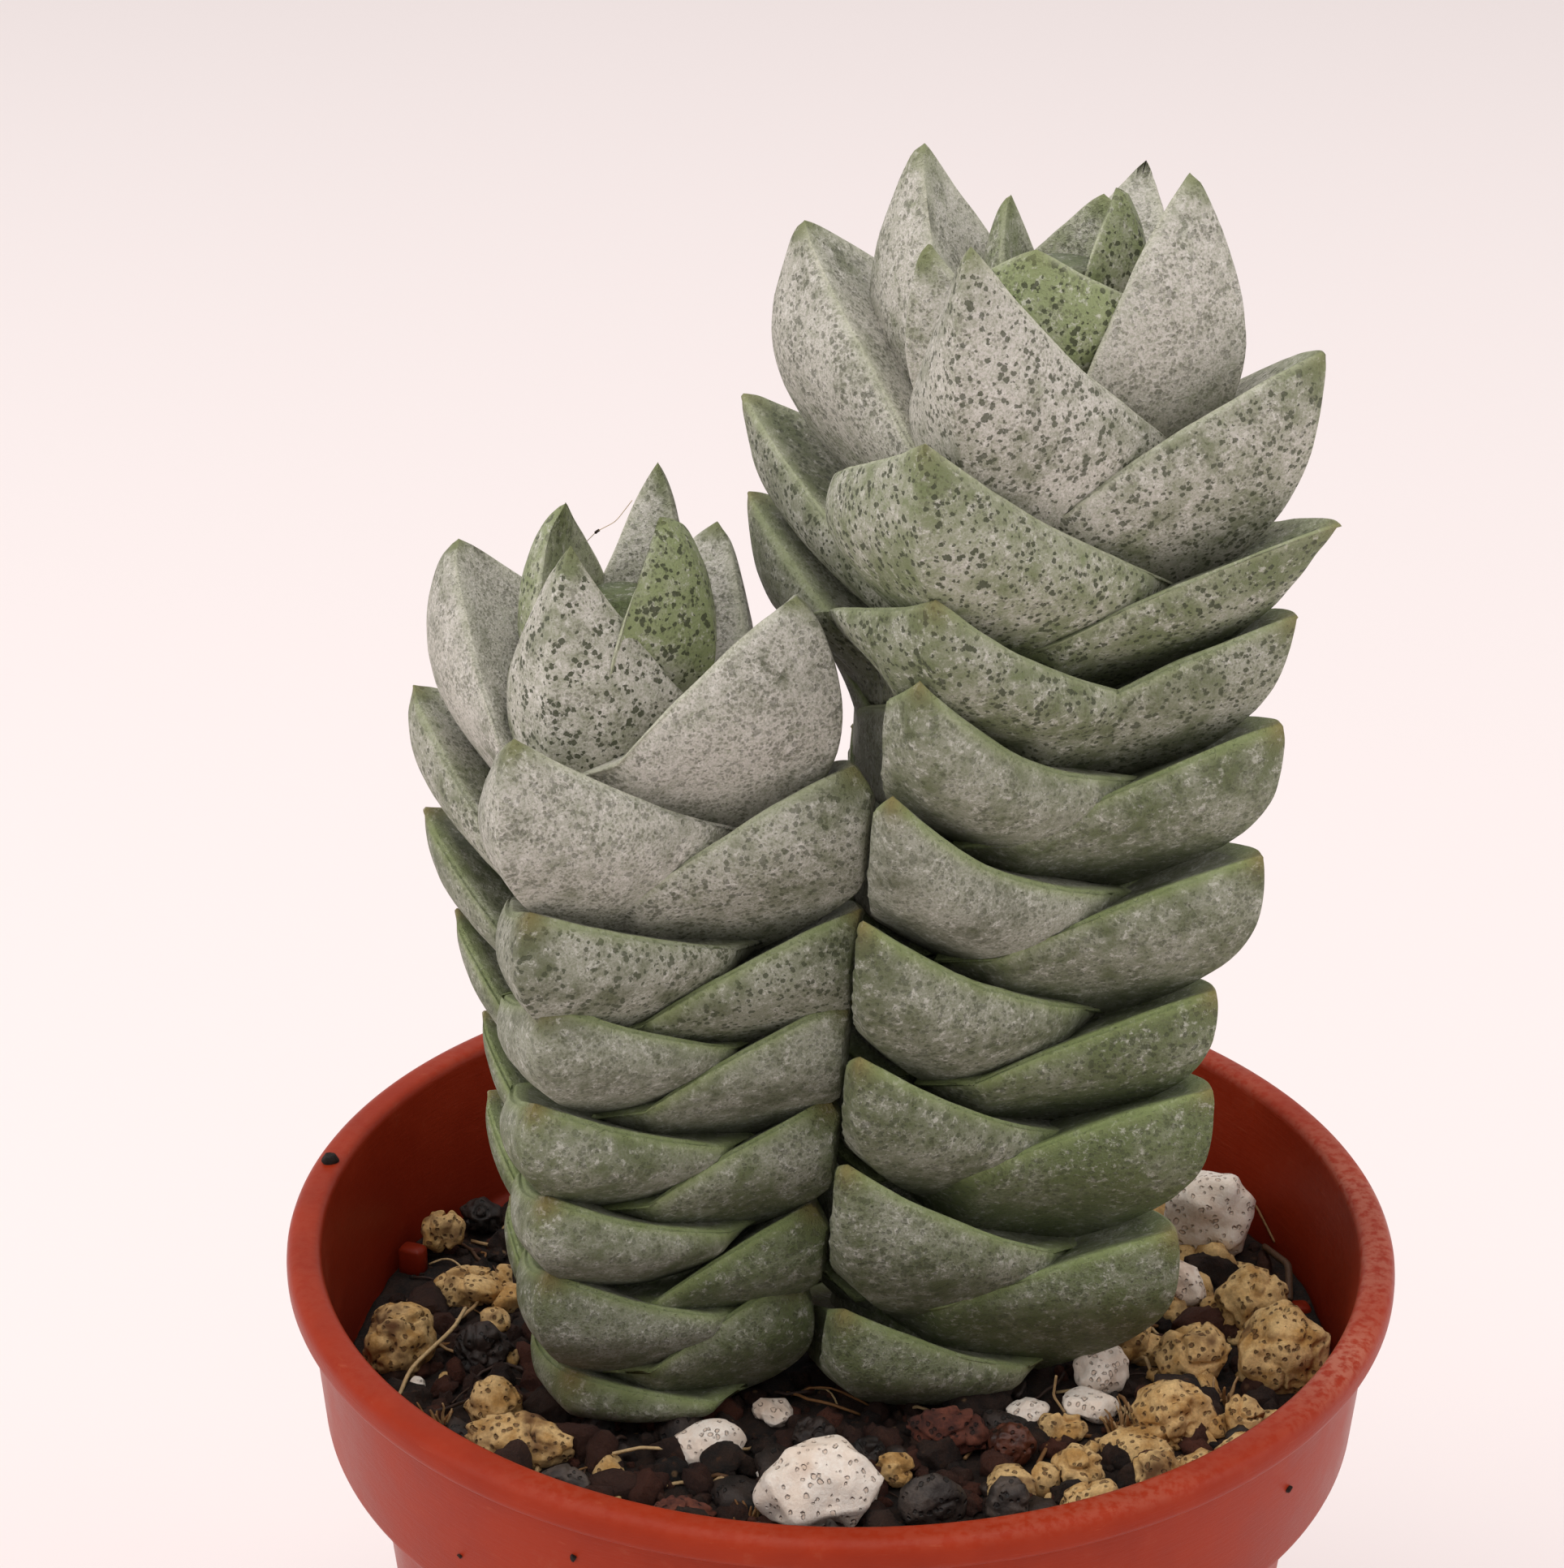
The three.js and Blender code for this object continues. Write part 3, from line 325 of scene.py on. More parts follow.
# The light: the pale room, then soft boxes by place, width and height, power and colour
ROOM_COLOUR = (1.0, 0.972, 0.966, 1.0)
ROOM_STRENGTH = 0.66
LIGHT_TARGET = (0.0, 0.0, 0.06)
SOFTBOXES = (
    ("top_light", (-0.12, -0.1, 0.9), (0.9, 0.9), 4.2, (1.0, 0.985, 0.97)),
    ("left_light", (-0.7, -0.25, 0.35), (0.35, 0.7), 1.6, (1.0, 0.98, 0.96)),
    ("right_light", (0.75, -0.15, 0.3), (0.35, 0.7), 1.5, (1.0, 0.97, 0.96)),
)
FLOOR_COLOUR = (242, 232, 231)
FLOOR_REACH = 6.0


# Small sums


def lerp(first, second, share):
    return first + (second - first) * share


def ease(share):
    """A share from 0 to 1 that starts and ends slowly."""
    share = np.clip(share, 0.0, 1.0)
    return share * share * (3.0 - 2.0 * share)


def bezier(points, share):
    """Points on a cubic curve: the four control points weighed by the shares' cubic terms."""
    a, b, c, d = (np.asarray(p, float) for p in points)
    t = np.asarray(share, float)[..., None]
    return a * (1 - t) ** 3 + 3 * b * t * (1 - t) ** 2 + 3 * c * t * t * (1 - t) + d * t**3


def rough(points, size, seed):
    """Smooth random heights from -1 to 1: random values at cubes' corners, eased between them."""
    grid = np.asarray(points, float) / size
    low = np.floor(grid).astype(np.int64)
    part = ease(grid - low)
    total = np.zeros(grid.shape[:-1])
    for corner in np.ndindex(2, 2, 2):
        at = low + np.array(corner)
        key = seed * SEED_FACTOR
        for axis, factor in enumerate(AXIS_FACTORS):
            key = key ^ (at[..., axis] * factor)
        key = ((key ^ (key >> 13)) * 1274126177) & 0xFFFFFFFF
        value = ((key ^ (key >> 15)) & 0xFFFF) / 32767.5 - 1.0
        weight = np.prod(np.where(np.array(corner) == 1, part, 1.0 - part), axis=-1)
        total = total + weight * value
    return total


def xyz(x, y, z):
    """Points from their three coordinates, each an array or one number."""
    return np.stack(np.broadcast_arrays(x, y, z), axis=-1)


def turned(points, turn):
    """Points turned about Z: the cosine and sine of the angle weigh X and Y."""
    c, s = np.cos(turn), np.sin(turn)
    x, y, z = points[..., 0], points[..., 1], points[..., 2]
    return xyz(c * x - s * y, s * x + c * y, z)


def around(count):
    """Angles evenly spaced round a full turn."""
    return 2 * np.pi * np.arange(count) / count


def polar(out, turn):
    """Along X and along Y, for places this far out at this angle."""
    return out * np.cos(turn), out * np.sin(turn)


# Making pieces


def ring_faces(rows, columns):
    """The four-sided faces between rings of points, each ring closed on itself."""
    row = np.arange(rows - 1)[:, None] * columns
    here = np.arange(columns)[None, :]
    following = (here + 1) % columns
    below = row + columns
    return np.stack([row + here, below + here, below + following, row + following], axis=-1).reshape(-1, 4)


def cap_faces(start, columns, point, flip):
    """The three-sided faces from one ring to one point."""
    here = np.arange(columns)
    following = (here + 1) % columns
    order = [start + following, start + here] if flip else [start + here, start + following]
    return np.stack([np.full(columns, point), *order], axis=-1)


def skin(rings, first, last):
    """A closed skin: a first point, rings of points one after the other, and a last point."""
    rows, columns = rings.shape[:2]
    points = np.concatenate([rings.reshape(-1, 3), [first], [last]])
    count = rows * columns
    start_cap = cap_faces(0, columns, count, False)
    end_cap = cap_faces(count - columns, columns, count + 1, True)
    return points, ring_faces(rows, columns), np.concatenate([start_cap, end_cap])


def join(shapes):
    """Several shapes as one: their points one after the other, and their faces counted on."""
    points, quads, tris, start = [], [], [], 0
    for shape_points, shape_quads, shape_tris in shapes:
        points.append(shape_points)
        quads.append(np.asarray(shape_quads, np.int64).reshape(-1, 4) + start)
        tris.append(np.asarray(shape_tris, np.int64).reshape(-1, 3) + start)
        start += len(shape_points)
    return np.concatenate(points), np.concatenate(quads), np.concatenate(tris)


def outward(points, quads, tris=NO_TRIANGLES):
    """The same shape with all its faces turned round if its volume comes out negative."""
    centred = points - points.mean(axis=0)
    corners = centred[np.concatenate([quads[:, [0, 1, 2]], quads[:, [0, 2, 3]], tris])]
    volume = np.einsum("ij,ij->i", corners[:, 0], np.cross(corners[:, 1], corners[:, 2])).sum()
    if volume < 0:
        return points, quads[:, ::-1], tris[:, ::-1]
    return points, quads, tris


def make_piece(name, shape, material, node, marks=None):
    """A smooth mesh piece from a shape in millimetres, riding on the part and standing for a CAD node."""
    points, quads, tris = shape
    mesh = bpy.data.meshes.new(name)
    mesh.vertices.add(len(points))
    mesh.vertices.foreach_set("co", (points * MM).astype(np.float32).ravel())
    mesh.loops.add(quads.size + tris.size)
    mesh.loops.foreach_set("vertex_index", np.concatenate([quads.ravel(), tris.ravel()]).astype(np.int32))
    mesh.polygons.add(len(quads) + len(tris))
    starts = np.concatenate([np.arange(len(quads)) * 4, quads.size + np.arange(len(tris)) * 3])
    mesh.polygons.foreach_set("loop_start", starts.astype(np.int32))
    mesh.update(calc_edges=True)
    mesh.shade_smooth()
    for mark, values in (marks or {}).items():
        layer = mesh.attributes.new(mark, "FLOAT", "POINT")
        layer.data.foreach_set("value", np.broadcast_to(values, len(points)).astype(np.float32))
    mesh.materials.append(material)
    piece = bpy.data.objects.new(name, mesh)
    bpy.context.scene.collection.objects.link(piece)
    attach(piece, "root")
    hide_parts(node)


def tube(path, radius):
    """A closed tube: a circle of points carried along a path, across its direction, with closed ends."""
    path = np.asarray(path, float)
    along = np.gradient(path, axis=0)
    along /= np.linalg.norm(along, axis=1, keepdims=True)
    side = np.cross(along, NEARLY_UP)
    side /= np.linalg.norm(side, axis=1, keepdims=True)
    up = np.cross(side, along)
    angle = around(TUBE_SIDES)[None, :, None]
    radius = np.broadcast_to(radius, len(path))[:, None, None]
    circle = side[:, None] * np.cos(angle) + up[:, None] * np.sin(angle)
    return skin(path[:, None] + radius * circle, path[0], path[-1])


# Node helpers for the materials


def colour(red, green, blue):
    """A colour given in everyday 0 to 255 values, as the linear colour that the nodes use."""
    share = np.array([red, green, blue]) / 255.0
    linear = np.where(share <= 0.04045, share / 12.92, ((share + 0.055) / 1.055) ** 2.4)
    return (*linear.tolist(), 1.0)


def feed(tree, node, inputs):
    """Values or links for a node's inputs."""
    for key, value in inputs.items():
        if isinstance(value, bpy.types.NodeSocket):
            tree.links.new(value, node.inputs[key])
        else:
            node.inputs[key].default_value = value


def put(tree, kind, inputs, **settings):
    """One node with its settings and inputs."""
    node = tree.nodes.new("ShaderNode" + kind)
    for name, value in settings.items():
        setattr(node, name, value)
    feed(tree, node, inputs)
    return node


def sum_of(tree, kind, first, second):
    return put(tree, "Math", {0: first, 1: second}, operation=kind).outputs[0]


def times(tree, first, second):
    return sum_of(tree, "MULTIPLY", first, second)


def plus(tree, first, second):
    return sum_of(tree, "ADD", first, second)


def minus(tree, first, second):
    return sum_of(tree, "SUBTRACT", first, second)


def spread(tree, value, low, high, to_low=0.0, to_high=1.0):
    """A value brought from one range to another, with eased ends."""
    inputs = {"Value": value, "From Min": low, "From Max": high, "To Min": to_low, "To Max": to_high}
    return put(tree, "MapRange", inputs, interpolation_type="SMOOTHSTEP").outputs["Result"]


def tint(tree, share, first, second):
    """Two colours mixed by a share, each a link or everyday 0 to 255 values."""
    first, second = (colour(*c) if isinstance(c, tuple) else c for c in (first, second))
    inputs = {0: share, 6: first, 7: second}
    return put(tree, "Mix", inputs, data_type="RGBA", blend_type="MIX").outputs[2]


def clouds(tree, place, size, detail=3.0, roughness=0.5, twist=0.0):
    """Noise whose patches are about this many millimetres across."""
    inputs = {
        "Vector": place,
        "Scale": 1.0 / (size * MM),
        "Detail": detail,
        "Roughness": roughness,
        "Distortion": twist,
    }
    return put(tree, "TexNoise", inputs).outputs["Fac"]


def cells(tree, place, size):
    """The distance to the nearest of scattered points, in shares of their spacing in millimetres."""
    return put(tree, "TexVoronoi", {"Vector": place, "Scale": 1.0 / (size * MM)}).outputs["Distance"]


def shaken(tree, place, size, amount):
    """A place shifted by noise, so that the patterns on it lose their round outlines."""
    noise = put(tree, "TexNoise", {"Vector": place, "Scale": 1.0 / (size * MM), "Detail": 2.0})
    inputs = {0: noise.outputs["Color"], 1: (0.5, 0.5, 0.5)}
    middle = put(tree, "VectorMath", inputs, operation="SUBTRACT")
    scaled = put(tree, "VectorMath", {0: middle.outputs[0], "Scale": amount * MM}, operation="SCALE")
    return put(tree, "VectorMath", {0: place, 1: scaled.outputs[0]}, operation="ADD").outputs[0]


def mark(tree, name):
    """A value that the mesh holds for each of its points."""
    return put(tree, "Attribute", {}, attribute_name=name).outputs["Fac"]


def object_place(tree):
    return put(tree, "TexCoord", {}).outputs["Object"]


def new_material(name):
    """An empty material with its shader."""
    material = bpy.data.materials.new(name)
    material.use_nodes = True
    tree = material.node_tree
    shader = next(node for node in tree.nodes if node.type == "BSDF_PRINCIPLED")
    return material, tree, shader


def bump(tree, height, depth, normal=None):
    """A bump of this depth in millimetres, over another where one is given."""
    inputs = {"Height": height, "Distance": depth * MM, "Strength": 1.0}
    if normal is not None:
        inputs["Normal"] = normal
    return put(tree, "Bump", inputs).outputs["Normal"]


def stone_grain_group():
    """What every stone shares: patches and grain of noise, and pits round scattered points."""
    group = bpy.data.node_groups.new("stone_grain", "ShaderNodeTree")
    group.interface.new_socket("Place", in_out="INPUT", socket_type="NodeSocketVector")
    for output in ("Patches", "Pits", "Grain"):
        group.interface.new_socket(output, in_out="OUTPUT", socket_type="NodeSocketFloat")
    place = group.nodes.new("NodeGroupInput").outputs["Place"]
    out = group.nodes.new("NodeGroupOutput")
    distance = cells(group, shaken(group, place, 0.35, 0.25), 0.42)
    size = clouds(group, place, 0.8, 1.0)
    pits = spread(group, minus(group, distance, times(group, size, 0.35)), 0.0, 0.16)
    patches = clouds(group, place, 1.4, 4.0, 0.6)
    grain = clouds(group, place, 0.16, 4.0, 0.7)
    for output, value in (("Patches", patches), ("Pits", pits), ("Grain", grain)):
        group.links.new(value, out.inputs[output])
    return group


STONE_GRAIN = stone_grain_group()


def stone_material(name, pale, main, dark, pit_depth, roughness):
    """A porous stone: three colours in patches, dark pits and a fine grain."""
    material, tree, shader = new_material(name)
    place = object_place(tree)
    grain = put(tree, "Group", {"Place": place}, node_tree=STONE_GRAIN)
    patches = grain.outputs["Patches"]
    base = tint(tree, spread(tree, patches, 0.35, 0.6), main, pale)
    stained = tint(tree, spread(tree, clouds(tree, place, 2.6, 3.0), 0.55, 0.72), base, dark)
    pitted = tint(tree, spread(tree, grain.outputs["Pits"], 0.0, 0.6, 0.75, 0.0), stained, dark)
    speckled = tint(tree, spread(tree, grain.outputs["Grain"], 0.3, 0.7, 0.35, 0.0), pitted, dark)
    deep = bump(tree, grain.outputs["Pits"], pit_depth)
    fine = bump(tree, grain.outputs["Grain"], 0.05, deep)
    feed(tree, shader, {"Base Color": speckled, "Roughness": roughness, "Normal": fine})
    return material


def leaf_material():
    """Grey-green leaf skin under a pale powder.

    The powder lies in patches and flecks, thinner on old and green leaves, at the tip and on the keel. Dark
    dots show through it by each leaf's own boldness, the margins are paler, and the tips turn green on young
    leaves and brown on old ones.
    """
    material, tree, shader = new_material("leaf_skin")
    place = object_place(tree)
    green = mark(tree, "greenness")
    boldness = mark(tree, "dot_boldness")
    near_tip = mark(tree, "near_tip")
    near_margin = mark(tree, "near_margin")
    near_keel = mark(tree, "near_keel")
    inner = mark(tree, "inner_face")
    # This mark is 0 near the top of each stem and 1 lower down. It darkens flesh, powder and margins and
    # browns the tips, partly as older skin and partly as painted shade on the lower leaves
    age = mark(tree, "age")
    deep = mark(tree, "towards_base")

    wide = clouds(tree, place, 3.6, 3.0, 0.55)
    middling = clouds(tree, place, 0.9, 4.0, 0.65)
    fine = clouds(tree, place, 0.13, 3.0, 0.7)
    flecks = clouds(tree, shaken(tree, place, 0.5, 0.3), 0.34, 5.0, 0.75)
    young_flesh = tint(tree, spread(tree, wide, 0.3, 0.7), (96, 102, 70), (120, 126, 92))
    # The darker flesh lower down is partly older skin and partly painted shade
    old_and_shaded_flesh = tint(tree, spread(tree, wide, 0.35, 0.65), (80, 84, 54), (100, 106, 70))
    flesh = tint(tree, age, young_flesh, old_and_shaded_flesh)
    green_flesh = tint(tree, age, (152, 166, 110), (104, 120, 66))
    flesh = tint(tree, times(tree, green, 0.7), flesh, green_flesh)

    worn = times(tree, green, 0.3)
    for place_worn, much in ((near_keel, 0.14), (near_tip, 0.28), (age, 0.06), (boldness, 0.07)):
        worn = plus(tree, worn, times(tree, place_worn, much))
    patchy = plus(tree, times(tree, wide, 0.75), times(tree, middling, 0.45))
    powder = spread(tree, minus(tree, patchy, worn), 0.16, 0.6, 0.08, 0.94)
    powder = times(tree, powder, spread(tree, fine, 0.36, 0.6, 0.52, 1.0))
    # Greyer, darker powder on the lower leaves: partly older powder, partly painted shade
    powder_colour = tint(tree, age, (214, 208, 200), (168, 167, 154))
    skin_colour = tint(tree, powder, flesh, powder_colour)
    bright = spread(tree, flecks, 0.53, 0.6, 0.0, 0.6)
    bright = times(tree, bright, spread(tree, middling, 0.42, 0.58))
    bright = times(tree, bright, spread(tree, age, 0.0, 1.0, 0.9, 0.65))
    skin_colour = tint(tree, bright, skin_colour, (232, 228, 220))
    rubbed = spread(tree, clouds(tree, place, 1.5, 5.0, 0.75), 0.56, 0.68, 0.0, 0.55)
    rubbed = times(tree, rubbed, spread(tree, green, 0.0, 0.7, 0.35, 1.0))
    rubbed_colour = tint(tree, age, (124, 138, 90), (90, 102, 60))
    skin_colour = tint(tree, rubbed, skin_colour, rubbed_colour)

    pocks = cells(tree, shaken(tree, place, 0.2, 0.2), 0.21)
    pock_size = spread(tree, clouds(tree, place, 1.4, 3.0), 0.35, 0.65, 0.16, 0.5)
    pock_share = spread(tree, minus(tree, pocks, pock_size), -0.12, 0.04, 0.46, 0.0)
    skin_colour = tint(tree, pock_share, skin_colour, (84, 86, 62))

    spotted = shaken(tree, place, 0.14, 0.24)
    spacing = cells(tree, spotted, 0.37)
    size = spread(tree, clouds(tree, place, 0.8, 2.0), 0.3, 0.7, 0.18, 0.44)
    dots = spread(tree, minus(tree, spacing, size), -0.05, 0.03, 1.0, 0.0)
    share = times(tree, dots, spread(tree, boldness, 0.0, 1.0, 0.2, 0.88))
    share = times(tree, share, spread(tree, inner, 0.0, 1.0, 1.0, 0.7))
    share = times(tree, share, spread(tree, near_margin, 0.0, 1.0, 1.0, 0.1))
    skin_colour = tint(tree, share, skin_colour, (66, 71, 48))

    margin_colour = tint(tree, age, (204, 204, 178), (150, 164, 104))
    margin_share = sum_of(tree, "POWER", near_margin, spread(tree, age, 0.0, 1.0, 1.2, 0.4))
    skin_colour = tint(tree, times(tree, margin_share, 0.75), skin_colour, margin_colour)
    tip_share = times(tree, sum_of(tree, "POWER", near_tip, 2.0), 0.6)
    tip_colour = tint(tree, age, (128, 134, 84), (140, 116, 62))
    skin_colour = tint(tree, tip_share, skin_colour, tip_colour)
    # Painted shade: each leaf's outer face is tinted darker green towards its base, under the belly
    skin_colour = tint(tree, times(tree, deep, 0.25), skin_colour, (80, 90, 52))

    crackle = plus(tree, times(tree, fine, 0.7), times(tree, flecks, 0.7))
    rough_skin = bump(tree, minus(tree, 1.0, dots), 0.03, bump(tree, crackle, 0.13))
    roughness = spread(tree, powder, 0.0, 1.0, 0.5, 0.85)
    feed(tree, shader, {"Base Color": skin_colour, "Roughness": roughness, "Normal": rough_skin})
    feed(tree, shader, {"Specular IOR Level": 0.3, "Sheen Weight": 0.05})
    return material


def pot_material():
    """Terracotta-orange plastic: a satin gloss, mottled colour, thin scratches, dust, a worn pale rim, and
    painted shade inside the wall.
    """
    material, tree, shader = new_material("pot_plastic")
    place = object_place(tree)
    mottle = clouds(tree, place, 6.0, 4.0, 0.6)
    fine = clouds(tree, place, 0.5, 3.0, 0.6)
    base = tint(tree, spread(tree, mottle, 0.3, 0.7), (142, 41, 18), (154, 48, 22))
    stretched = put(tree, "Mapping", {"Vector": place, "Scale": (1.0, 1.0, 9.0)}).outputs["Vector"]
    streaks = clouds(tree, stretched, 1.6, 5.0, 0.7, 0.4)
    scratches = spread(tree, streaks, 0.62, 0.7)
    base = tint(tree, times(tree, scratches, 0.16), base, (188, 104, 74))
    dust = times(tree, spread(tree, clouds(tree, place, 3.0, 6.0, 0.75), 0.58, 0.82), 0.2)
    base = tint(tree, dust, base, (170, 118, 92))
    worn = times(tree, mark(tree, "worn_rim"), spread(tree, fine, 0.35, 0.6))
    base = tint(tree, worn, base, (206, 150, 126))
    # Painted shade: the inner side of the wall below the rim, and the ribs, are tinted dark red
    base = tint(tree, times(tree, mark(tree, "inside"), 0.55), base, (92, 24, 13))
    roughness = spread(tree, mottle, 0.2, 0.8, 0.3, 0.46)
    scratched = bump(tree, streaks, 0.02, bump(tree, fine, 0.008))
    feed(tree, shader, {"Base Color": base, "Roughness": roughness, "Normal": scratched})
    feed(tree, shader, {"Specular IOR Level": 0.12})
    return material


def soil_material():
    """Dark potting mix: black-brown with red-brown and tan flecks, very rough."""
    material, tree, shader = new_material("potting_mix")
    place = object_place(tree)
    patches = clouds(tree, place, 1.8, 6.0, 0.75)
    base = tint(tree, spread(tree, patches, 0.35, 0.65), (18, 12, 9), (62, 40, 28))
    flecks = cells(tree, shaken(tree, place, 0.4, 0.4), 0.9)
    base = tint(tree, spread(tree, flecks, 0.05, 0.22, 0.6, 0.0), base, (96, 62, 38))
    bits = cells(tree, place, 1.7)
    base = tint(tree, spread(tree, bits, 0.05, 0.12, 0.8, 0.0), base, (150, 118, 84))
    base = tint(tree, mark(tree, "tone"), base, (92, 46, 28))
    crumbled = bump(tree, clouds(tree, place, 0.3, 6.0, 0.8), 0.3, bump(tree, patches, 0.8))
    feed(tree, shader, {"Base Color": base, "Roughness": 0.92, "Normal": crumbled})
    return material


def fibre_material():
    """Wood fibre and roots, from dark brown to straw by each strand's own tone."""
    material, tree, shader = new_material("fibre")
    place = object_place(tree)
    tone = mark(tree, "tone")
    low = tint(tree, spread(tree, tone, 0.0, 0.5), (44, 26, 18), (134, 92, 48))
    base = tint(tree, spread(tree, tone, 0.5, 1.0), low, (206, 176, 128))
    grain = clouds(tree, place, 0.3, 4.0, 0.7)
    base = tint(tree, spread(tree, grain, 0.3, 0.7, 0.35, 0.0), base, (60, 38, 24))
    feed(tree, shader, {"Base Color": base, "Roughness": 0.7, "Normal": bump(tree, grain, 0.05)})
    return material


def make_materials():
    finishes = {
        "leaf_skin": leaf_material(),
        "pot_plastic": pot_material(),
        "soil": soil_material(),
        "fibre": fibre_material(),
    }
    for name, look in STONE_LOOKS.items():
        finishes[name] = stone_material(name, *look)
    return finishes


# The leafy stems


def axis_at(stem, height):
    """The stem's axis: a straight line from foot to top, bowed to one side between them."""
    share = np.maximum(np.asarray(height, float), 0.0) / stem["length"]
    bow = stem["bow"] * (1 - (2 * share - 1) ** 2)
    x = lerp(stem["foot"][0], stem["top"][0], share) + bow
    y = lerp(stem["foot"][1], stem["top"][1], share)
    return xyz(x, y, SOIL_LEVEL + np.asarray(height, float))


def margin_curve(leaf, share):
    """The margin from the tip to where the pair's two leaves meet.

    A cubic curve, nearly straight, runs from the tip to the corner. A short line goes on to the meeting.
    """
    reach, out, across, drop = leaf["reach"], leaf["out"], leaf["across"], leaf["drop"]
    first, second = leaf["peak"]
    controls = [
        (reach, 0.0, 0.0),
        (lerp(reach, out, MARGIN_OUT[0]), MARGIN_ACROSS[0] * across, -first * drop),
        (lerp(reach, out, MARGIN_OUT[1]), MARGIN_ACROSS[1] * across, -second * drop),
        (out, across, -drop),
    ]
    outer = bezier(controls, np.minimum(share / WIDEST, 1.0))
    t = np.clip((share - WIDEST) / (1 - WIDEST), 0.0, 1.0)
    x, y = lerp(out, 0.0, t), lerp(across, leaf["meeting"], t)
    inner = xyz(x, y, -drop * (1 + MEETING_DROP * t))
    return np.where((share <= WIDEST)[..., None], outer, inner)


def signed_power(value, power):
    return np.sign(value) * np.abs(value) ** power


def grid_normals(rings):
    """The direction out of a closed grid of rings: across the rows times across the columns."""
    down = np.gradient(rings, axis=0)
    onward = np.roll(rings, -1, axis=1) - np.roll(rings, 1, axis=1)
    normal = np.cross(onward, down)
    length = np.linalg.norm(normal, axis=-1, keepdims=True)
    return normal / np.maximum(length, 1e-9)


def pressed(points, side):
    """Leaves that meet the other stem lie nearly flat along the bent face between the two stems."""
    x, y, height = points[..., 0], points[..., 1], points[..., 2] - SOIL_LEVEL
    bend = np.interp(y, *PRESS_BENDS)
    face = PRESS_X_AT_SOIL + PRESS_LEAN * height + bend + side * PRESS_ROOM
    top = np.interp(y, *PRESS_TOPS)
    hold = np.clip((top - height) / PRESS_FADE, 0.0, 1.0)
    past = side * (face - x)
    moved = x + side * past * hold * (1 - PRESS_SOFT) + side * PRESS_SOFT * hold * 2
    x = np.where(past > 0, moved, x)
    return xyz(x, y, points[..., 2])


def hanging(leaf, across, down):
    """How far the outer face has dropped and swelled, and how much of its reach it keeps, across and down."""
    rise = 1 - SIDE_RISE * np.abs(across)
    hang = down * (1 - down) ** 2 + 3 * BELLY_DROP * down**2 * (1 - down)
    under = down**4
    drop = leaf["face"] * (rise * hang + UNDER_DROP * under)
    swell = 1.5 * down * (1 - down) ** 2 + 3 * down**2 * (1 - down)
    return drop, swell, 1 - under


def outer_face(leaf, across, down):
    """The outer face as a sheet that hangs from the margin.

    At each place along the margin a curve drops to the belly and turns in under it to one point on the
    stem's axis. On the way the place along the margin is taken nearer the tip by a power, so the sharp
    ridge below the tip widens into a round belly.
    """
    power = lerp(RIDGE_POWER, BELLY_POWER, np.sin(np.pi * down**0.8))
    nearer = np.abs(across) ** power
    margin = margin_curve(leaf, nearer)
    hump = np.sin(np.pi * np.minimum(np.abs(across) / WIDEST, 1.0)) ** SPREAD_POWER
    spread = 1 + leaf["spread"] * hump * (across < 0)
    side = margin_curve(leaf, np.abs(across))[..., 1] * np.sign(across) * spread
    side = np.broadcast_to(side, nearer.shape)
    drop, swell, keep = hanging(leaf, across, down)
    away = np.stack([margin[..., 0], side], axis=-1)
    length = np.maximum(np.linalg.norm(away, axis=-1, keepdims=True), 1e-6)
    half, corner = SIDE_BELLY[leaf["rank"]]
    bulges = [leaf["belly"], BELLY_KEPT * leaf["belly"] + half, corner, BELLY_END]
    belly = np.interp(np.abs(across), BELLY_PLACES, bulges)
    plan = away * keep[..., None] + away / length * (belly * swell)[..., None]
    z = margin[..., 2] * (1 - SPREAD_RISE * (spread - 1)) * keep - drop
    return np.concatenate([plan, z[..., None]], axis=-1)


def base_face(leaf, across, down):
    """The base: a flat sheet across the stem that closes the leaf behind, down to the same point."""
    drop, _, keep = hanging(leaf, np.ones_like(across), down)
    y = -across * leaf["meeting"] * BASE_SHARE * keep
    return xyz(-BASE_OVERLAP * keep, y, -leaf["drop"] * (1 + MEETING_DROP) * keep - drop)


